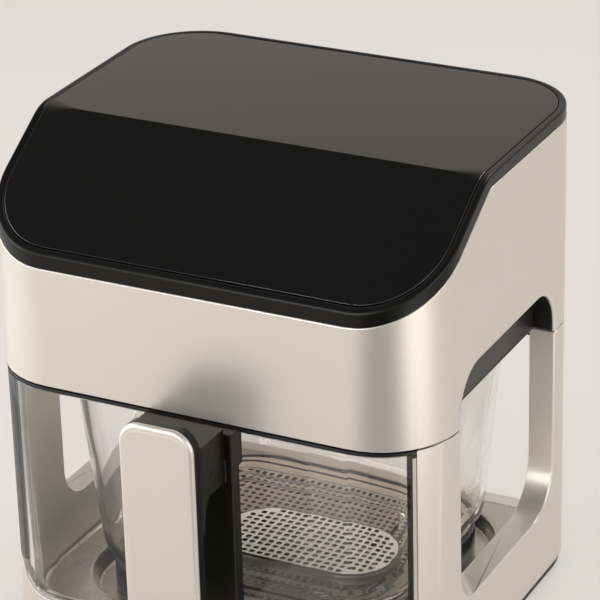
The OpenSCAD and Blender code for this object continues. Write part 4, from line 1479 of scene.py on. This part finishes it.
@dataclass
class Vessel(SubAssembly):
    """Glass vessel with the curved front glass and the handle."""

    body = Body.VESSEL
    top_a: float = 118.0
    top_b: float = 105.0
    top_r: float = 54.0
    taper: float = 11.0
    foot: float = 16.0
    inner_foot: float = 14.0
    wall: float = 4.0
    floor_t: float = 5.0
    fillet: float = 2.0
    bead_r: float = 1.4
    lip: float = 0.8
    flange_a: float = 132.4
    flange_b: float = 111.5
    flange_r: float = 52.0
    pane_border: float = 2.3
    seal_top: float = 4.5
    rings: int = 4
    ring_zone: float = 34.0
    ring_h: float = 1.7
    ring_r: float = 8.0
    middle: float = 4.0
    face_r: float = 14.0
    face_edge: float = 2.8
    face_rise: float = 0.22
    face_back: Profile = ((0.5, 0.0), (0.12, 0.15), (0.0, 0.5))
    face_front: Profile = ((0.9, 0.22), (1.5, 0.06), (2.2, 0.0))
    face_tilt: float = 0.12

    def build(self) -> None:
        """Builds the vessel, the front glass and the handle."""
        self.vessel()
        self.pane()
        self.handle()

    def vessel(self) -> None:
        """Blown glass: outlines stacked up the outside, over the rim and down the inside.

        Going up, the half sizes grow evenly from the foot to the top. The foot is a
        quarter circle, and so are the fillet under the rim and the rim's own edge. The
        underside has shallow moulded rings: a squared sine over the way in.
        """
        (_, _, z), (_, _, half) = box_of("glass_vessel")
        z0, z1 = z - half, z + half
        rim_z = z1 - 2 * self.bead_r
        top_size = (self.top_a, self.top_b, self.top_r)
        foot_size = np.array(top_size) - np.array([1, 1, 0.5]) * self.taper

        def form(inset: float, start: float, foot: float, end: float) -> np.ndarray:
            """Rows of the section from the foot up, at an inset from the outside.

            Args:
                inset: How far the wall lies inside the outer one.
                start: Height of the lowest row.
                foot: Radius of the curve at the foot.
                end: Height of the highest row.

            Returns:
                Rows of the section.
            """
            rise, fall = quarter(8)
            curve = section_rows(foot_size, inset + foot * fall, start + foot * rise)
            share = np.linspace(0, 1, 12)[1:, None]
            top = section_rows(top_size, inset, end)
            return np.vstack([curve, curve[-1:] * (1 - share) + top * share])

        along = np.linspace(0, 1, self.rings * 8 + 1)[:-1]
        swell = self.ring_h * np.sin(math.pi * self.rings * along) ** 2
        under = section_rows(foot_size, self.foot + self.ring_zone * (1 - along), z0 + swell)
        under[:, 2] = np.maximum(under[:, 2], self.ring_r)
        outside = form(0.0, z0, self.foot, rim_z - self.fillet)
        turn = np.linspace(0, math.pi / 2, 5)[1:]
        fillet = outside[-1] + self.fillet * section_rows((1, 1, 1), np.cos(turn), np.sin(turn))
        edge = np.linspace(-math.pi / 2, math.pi / 2, 7)
        bead = section_rows(
            (self.flange_a, self.flange_b, self.flange_r),
            self.bead_r * (1 - np.cos(edge)), rim_z + self.bead_r * (1 + np.sin(edge)),
        )
        inside = form(self.wall, z0 + self.floor_t, self.inner_foot, z1 - self.lip)[::-1]
        section = np.vstack([under, outside, fillet, bead, inside[:1] + self.lip, inside])
        outline = rounded_outline(section[:, :3], 18, 6)
        mesh = lathe_solid("vessel", in_body(outline, section[:, 3], self.middle))
        piece = finished(mesh, "blown_vessel", VESSEL_GLASS, Ease(0.0, 1, 80.0))
        self.add(piece, "clear_glass", "glass_vessel")

    def pane(self) -> None:
        """Front glass with its gasket, clips, clamp and magnet."""
        (x, _, _), (half, _, _) = box_of("front_glass")
        bordered = replace(PANE_GLASS, border_x=(x + half - self.pane_border) * MM)
        self.eased("front_glass", "pane_glass", bordered, Ease(0.5, 3, 40.0))
        (_, _, z), (_, _, half) = box_of("pane_gasket")
        seal = replace(PALE_SEAL, split_z=(z + half - self.seal_top) * MM)
        self.eased("pane_gasket", "rubber", seal, Ease(0.2, 2, 40.0))
        for node in ("pane_clips", "inner_clamp"):
            self.eased(node, "black_plastic", BLACK_PLASTIC, Ease(0.4, 2, 40.0))
        self.dress(NICKEL, "vessel_magnet")
        self.dress(STEEL, "handle_screws")

    def handle(self) -> None:
        """Bracket and grip with soft edges, and the metal face with its rounded border."""
        self.eased("handle_bracket", "black_plastic", BLACK_PLASTIC, Ease(0.7, 3))
        self.eased("handle_grip", "black_plastic", BLACK_PLASTIC, Ease(0.7, 3, 26.0))
        (_, y, z), (a, thick, b) = box_of("handle_face")
        rounding = self.face_edge * np.stack(quarter(8), 1) + [0, self.face_rise]
        rear = np.array([0, 2 * thick]) + np.array(self.face_back) * [1, -1]
        front = np.array(self.face_front) + [self.face_edge, 0]
        profile = np.vstack([rear, rounding, front])
        inset, depth = profile[:, :1], profile[:, 1:]
        outline = rounded_outline(np.array([a, b, self.face_r]) - inset, 16, 4)
        y = np.broadcast_to(y - thick + depth, outline.shape[:2])
        points = np.stack([outline[..., 0], y, outline[..., 1] + z], -1)
        mesh = lathe_solid("face", points)
        piece = finished(mesh, "handle_face_plate", BRUSHED_FACE, Ease(0.0, 1, 60.0))
        # The tilted border faces carry the edge mark, which gives them the finish's rougher edge
        # and its painted highlight.
        faces = piece.data.polygons
        normals = read(faces, "normal", 3, np.float32)
        tilted = np.hypot(normals[:, 0], normals[:, 2]) > self.face_tilt
        marks = np.repeat(tilted, read(faces, "loop_total"))
        set_values(piece.data, "edge", "CORNER", marks.astype(np.float32))
        self.add(piece, "champagne_metal", "handle_face")


@dataclass
class CookingTray(SubAssembly):
    """Perforated tray that stands upside down on the vessel's floor."""

    body = Body.TRAY
    a: float = 60.0
    b: float = 33.0
    r: float = 30.0
    side: float = 21.0
    middle: float = -15.0
    edge: float = 2.6
    margin: float = 2.6
    overlap: float = 0.4
    sheet: float = 1.2
    pitch: float = 5.4
    hole: float = 3.6
    roll: Profile = (
        (0.0, 1.6), (-0.5, 0.5), (-0.3, 0.1), (0.1, 0.0), (0.7, 0.2), (1.2, 1.5),
    )

    def build(self) -> None:
        """Builds the perforated top and the rolled border, and dresses the feet.

        The border's profile runs over the outer edge, round the roll at its lower end
        and back up inside. A profile point lies a distance in from the outline and a
        depth under the top.
        """
        (_, _, z), (_, _, half) = box_of("perforated_tray")
        top, drop = z + half, 2 * half
        flat = Perforated(self.a - self.edge, self.b - self.edge, self.r - self.edge,
                          self.pitch, self.hole, self.margin)
        sheet = flat.mesh("tray_top", top - self.sheet, top, self.middle, self.side)
        e, s = self.edge, self.sheet
        curve = np.stack(quarter(6), 1)[:, ::-1]
        outer, inner = e * curve, s + (e - s) * curve
        roll = np.array([0, drop]) + np.array(self.roll) * [1, -1]
        lap = e + self.overlap
        profile = np.vstack([[[lap, 0]], outer, roll, inner[::-1], [[lap, s]]])
        outline = rounded_outline(np.array([self.a, self.b, self.r]) - profile[:, :1], 16, 6)
        points = in_body(outline, top - profile[:, 1], self.middle, self.side)
        border = ring_solid("tray_border", points)
        # Painted shade: the top's hole walls and underside get the darker colour.
        hole_shaded = replace(PERFORATED, split_z=(top - HOLE_SHADE_DEPTH) * MM)
        for name, mesh, finish in (("tray_perforated_top", sheet, hole_shaded),
                                   ("tray_rolled_border", border, SHADED_ROLLED_EDGE)):
            piece = finished(mesh, name, finish, Ease(0.0, 1, 40.0))
            self.add(piece, "steel", "perforated_tray")
        self.dress(RUBBER, "tray_bumpers")


@dataclass
class Fan(SubAssembly):
    """Circulating fan, cooling fan, shaft and nut."""

    body = Body.FAN

    def build(self) -> None:
        """Dresses the fans, the shaft and the nut."""
        self.dress(STEEL, "fan_impeller", "fan_shaft", "shaft_nut")
        self.dress(BLACK_PLASTIC, "cooling_fan")


class Shoes(SubAssembly):
    """Shoes that the vessel's rim slides on."""

    def build(self) -> None:
        """Builds the shoes with soft edges."""
        self.eased("guide_shoes", "black_plastic", BLACK_PLASTIC, Ease(0.4, 2, 40.0))


# ------------------------------------------------------------------ studio


@dataclass(frozen=True)
class Lamp:
    """A soft rectangular lamp that looks at a point."""

    name: str
    place: Colour
    target: Colour
    width: float
    height: float
    power: float

    def build(self) -> None:
        """Adds the lamp."""
        data = bpy.data.lights.new(self.name, "AREA")
        data.shape, data.size, data.size_y = "RECTANGLE", self.width, self.height
        data.energy = self.power
        lamp = placed(self.name, data)
        way = Vector(self.place) - Vector(self.target)
        lamp.matrix_world = Matrix.Translation(self.place) @ (
            way.to_track_quat("Z", "Y").to_matrix().to_4x4()
        )


@dataclass(frozen=True)
class Viewpoint:
    """The camera: where it stands, and its right, up and back directions."""

    place: Colour = (0.7820, -1.4754, 0.9800)
    right: Colour = (0.89363, 0.44813, -0.02469)
    up: Colour = (-0.16886, 0.38666, 0.90662)
    back: Colour = (0.41583, -0.80602, 0.42120)
    lens: float = 181.3
    sensor: float = 36.0
    reach: tuple[float, float] = (0.05, 40.0)

    def build(self) -> None:
        """Adds the camera and makes it the scene's."""
        data = bpy.data.cameras.new("viewpoint")
        data.lens, data.sensor_width, data.sensor_fit = self.lens, self.sensor, "HORIZONTAL"
        data.clip_start, data.clip_end = self.reach
        camera = placed("viewpoint", data)
        turn = Matrix((self.right, self.up, self.back)).transposed().to_4x4()
        camera.matrix_world = Matrix.Translation(self.place) @ turn
        bpy.context.scene.camera = camera


@dataclass(frozen=True)
class Card:
    """A studio card on the floor that only reflections show: bright, or black as a flag."""

    name: str
    place: Colour
    width: float
    depth: float
    turn: float
    level: float
    glow: Colour = (1.0, 0.985, 0.965)

    def surface(self, graph: Graph) -> bpy.types.Node:
        """Adds an even glow."""
        inputs = {"Color": (*self.glow, 1.0), "Strength": self.level}
        return graph.node("ShaderNodeEmission", inputs)

    def build(self) -> None:
        """Adds the card, turned about the vertical."""
        x, y = np.array([-0.5, 0.5, 0.5, -0.5]), np.array([-0.5, -0.5, 0.5, 0.5])
        x, y = x * self.width / MM, y * self.depth / MM
        cosine, sine = math.cos(math.radians(self.turn)), math.sin(math.radians(self.turn))
        points = np.stack([
            self.place[0] / MM + cosine * x - sine * y,
            self.place[1] / MM + sine * x + cosine * y,
            np.full(4, self.place[2] / MM),
        ], 1)
        mesh = make_mesh(self.name, points, [np.array([[0, 1, 2, 3]])])
        piece = placed(self.name, mesh)
        mesh.materials.append(new_material(self.name, self.surface))
        piece.visible_camera = piece.visible_diffuse = piece.visible_shadow = False
        piece.visible_transmission = False


@dataclass(frozen=True)
class Studio:
    """Pale floor, a sky that is pale low down and dim overhead, soft lamps and cards."""

    floor_colour: Colour = (226, 220, 215)
    shown_floor: Colour = (233, 227, 222)
    shown_share: float = 0.6
    floor_patches: float = 3.0
    floor_change: float = 0.985
    low_sky: Colour = (228, 222, 216)
    sky_shades: Profile = (
        (0.0, 1.0), (0.28, 1.0), (0.42, 0.62), (0.55, 0.7), (0.74, 0.35), (0.86, 0.17),
        (1.0, 0.12),
    )
    floor_size: float = 12.0
    lamps: tuple[Lamp, ...] = (
        Lamp("left_softbox", (-1.45, -0.55, 0.75), (0, 0, 0.12), 1.2, 1.1, 15.0),
        Lamp("right_softbox", (1.35, -0.35, 0.62), (0, 0, 0.12), 0.9, 0.9, 6.0),
        Lamp("overhead", (0.2, 1.1, 1.7), (0, 0, 0.1), 1.0, 0.9, 15.0),
        Lamp("front_fill", (-0.45, -2.0, 1.05), (0, 0, 0.1), 1.0, 0.8, 18.0),
    )
    cards: tuple[Card, ...] = (
        Card("left_card", (-0.62, -0.17, 0.003), 0.42, 0.50, 8.0, 1.2),
        Card("right_card", (0.68, -0.27, 0.005), 0.46, 0.36, -28.0, 2.3),
        Card("front_flag", (0.44, -0.92, 0.006), 0.40, 1.4, 19.0, 0.0),
    )

    def build(self) -> None:
        """Adds floor, sky, lamps and cards, and sets how colours are shown."""
        bpy.context.scene.view_settings.view_transform = "Standard"
        self.floor()
        self.sky()
        for item in (*self.lamps, *self.cards):
            item.build()

    def floor(self) -> None:
        """A plain floor: one flat grid, which its own colour evens out where it is seen."""
        half = self.floor_size / 2 / MM
        line = np.linspace(-half, half, 9)
        x, y = np.meshgrid(line, line, indexing="xy")
        points = np.stack([x, y, np.zeros_like(x)], -1)
        mesh = make_mesh("floor", points, [grid_quads(*x.shape)])
        if read(mesh.polygons, "normal", 3, np.float32)[:, 2].sum() < 0:
            mesh.flip_normals()
        piece = placed("floor", mesh)
        mesh.materials.append(new_material("pale_floor", self.floor_surface))

    def floor_surface(self, graph: Graph) -> bpy.types.Node:
        """Adds a matt surface, mixed with a plain colour where the floor is seen.

        Args:
            graph: Nodes of the material.

        Returns:
            The mix.
        """
        patch = graph.noise(self.floor_patches, 2.0)
        colour = linear(*self.floor_colour)
        tone = graph.blend(patch, colour, tuple(self.floor_change * c for c in colour))
        inputs = {"Base Color": tone, "Roughness": 0.9, "Specular IOR Level": 0.1}
        shader = graph.node("ShaderNodeBsdfPrincipled", inputs)
        shown = graph.node("ShaderNodeEmission", {"Color": (*linear(*self.shown_floor), 1.0)})
        path = graph.node("ShaderNodeLightPath")
        seen = graph.out(path, "Is Camera Ray") + graph.out(path, "Is Glossy Ray")
        seen = seen + graph.out(path, "Is Transmission Ray")
        share = graph.math("MINIMUM", seen, 1.0) * self.shown_share
        return graph.mixed(share, shader, shown)

    def sky(self) -> None:
        """Sky whose colour depends on the height of the direction alone."""
        world = bpy.data.worlds.new("studio_sky")
        bpy.context.scene.world = world
        world.use_nodes = True
        graph = Graph(world.node_tree)
        way = graph.out(graph.node("ShaderNodeTexCoord"), "Generated")
        height = graph.out(graph.node("ShaderNodeSeparateXYZ", {0: way}), 2)
        low = linear(*self.low_sky)
        stops = [(place, tuple(share * c for c in low)) for place, share in self.sky_shades]
        ramp = graph.node("ShaderNodeValToRGB", {0: height}, stops=stops)
        shader = graph.node("ShaderNodeBackground", {"Color": graph.out(ramp)})
        graph.lead("ShaderNodeOutputWorld", shader)


def main() -> None:
    """Builds the studio and every sub-assembly."""
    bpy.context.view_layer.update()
    Viewpoint().build()
    Studio().build()
    roof = Roof()
    for part in (Head(roof), Base(), Shoes(), Vessel(), CookingTray(), Fan()):
        log.info("building %s", type(part).__name__)
        part.build()
    log.info("size written")


if __name__ == "__main__":
    main()
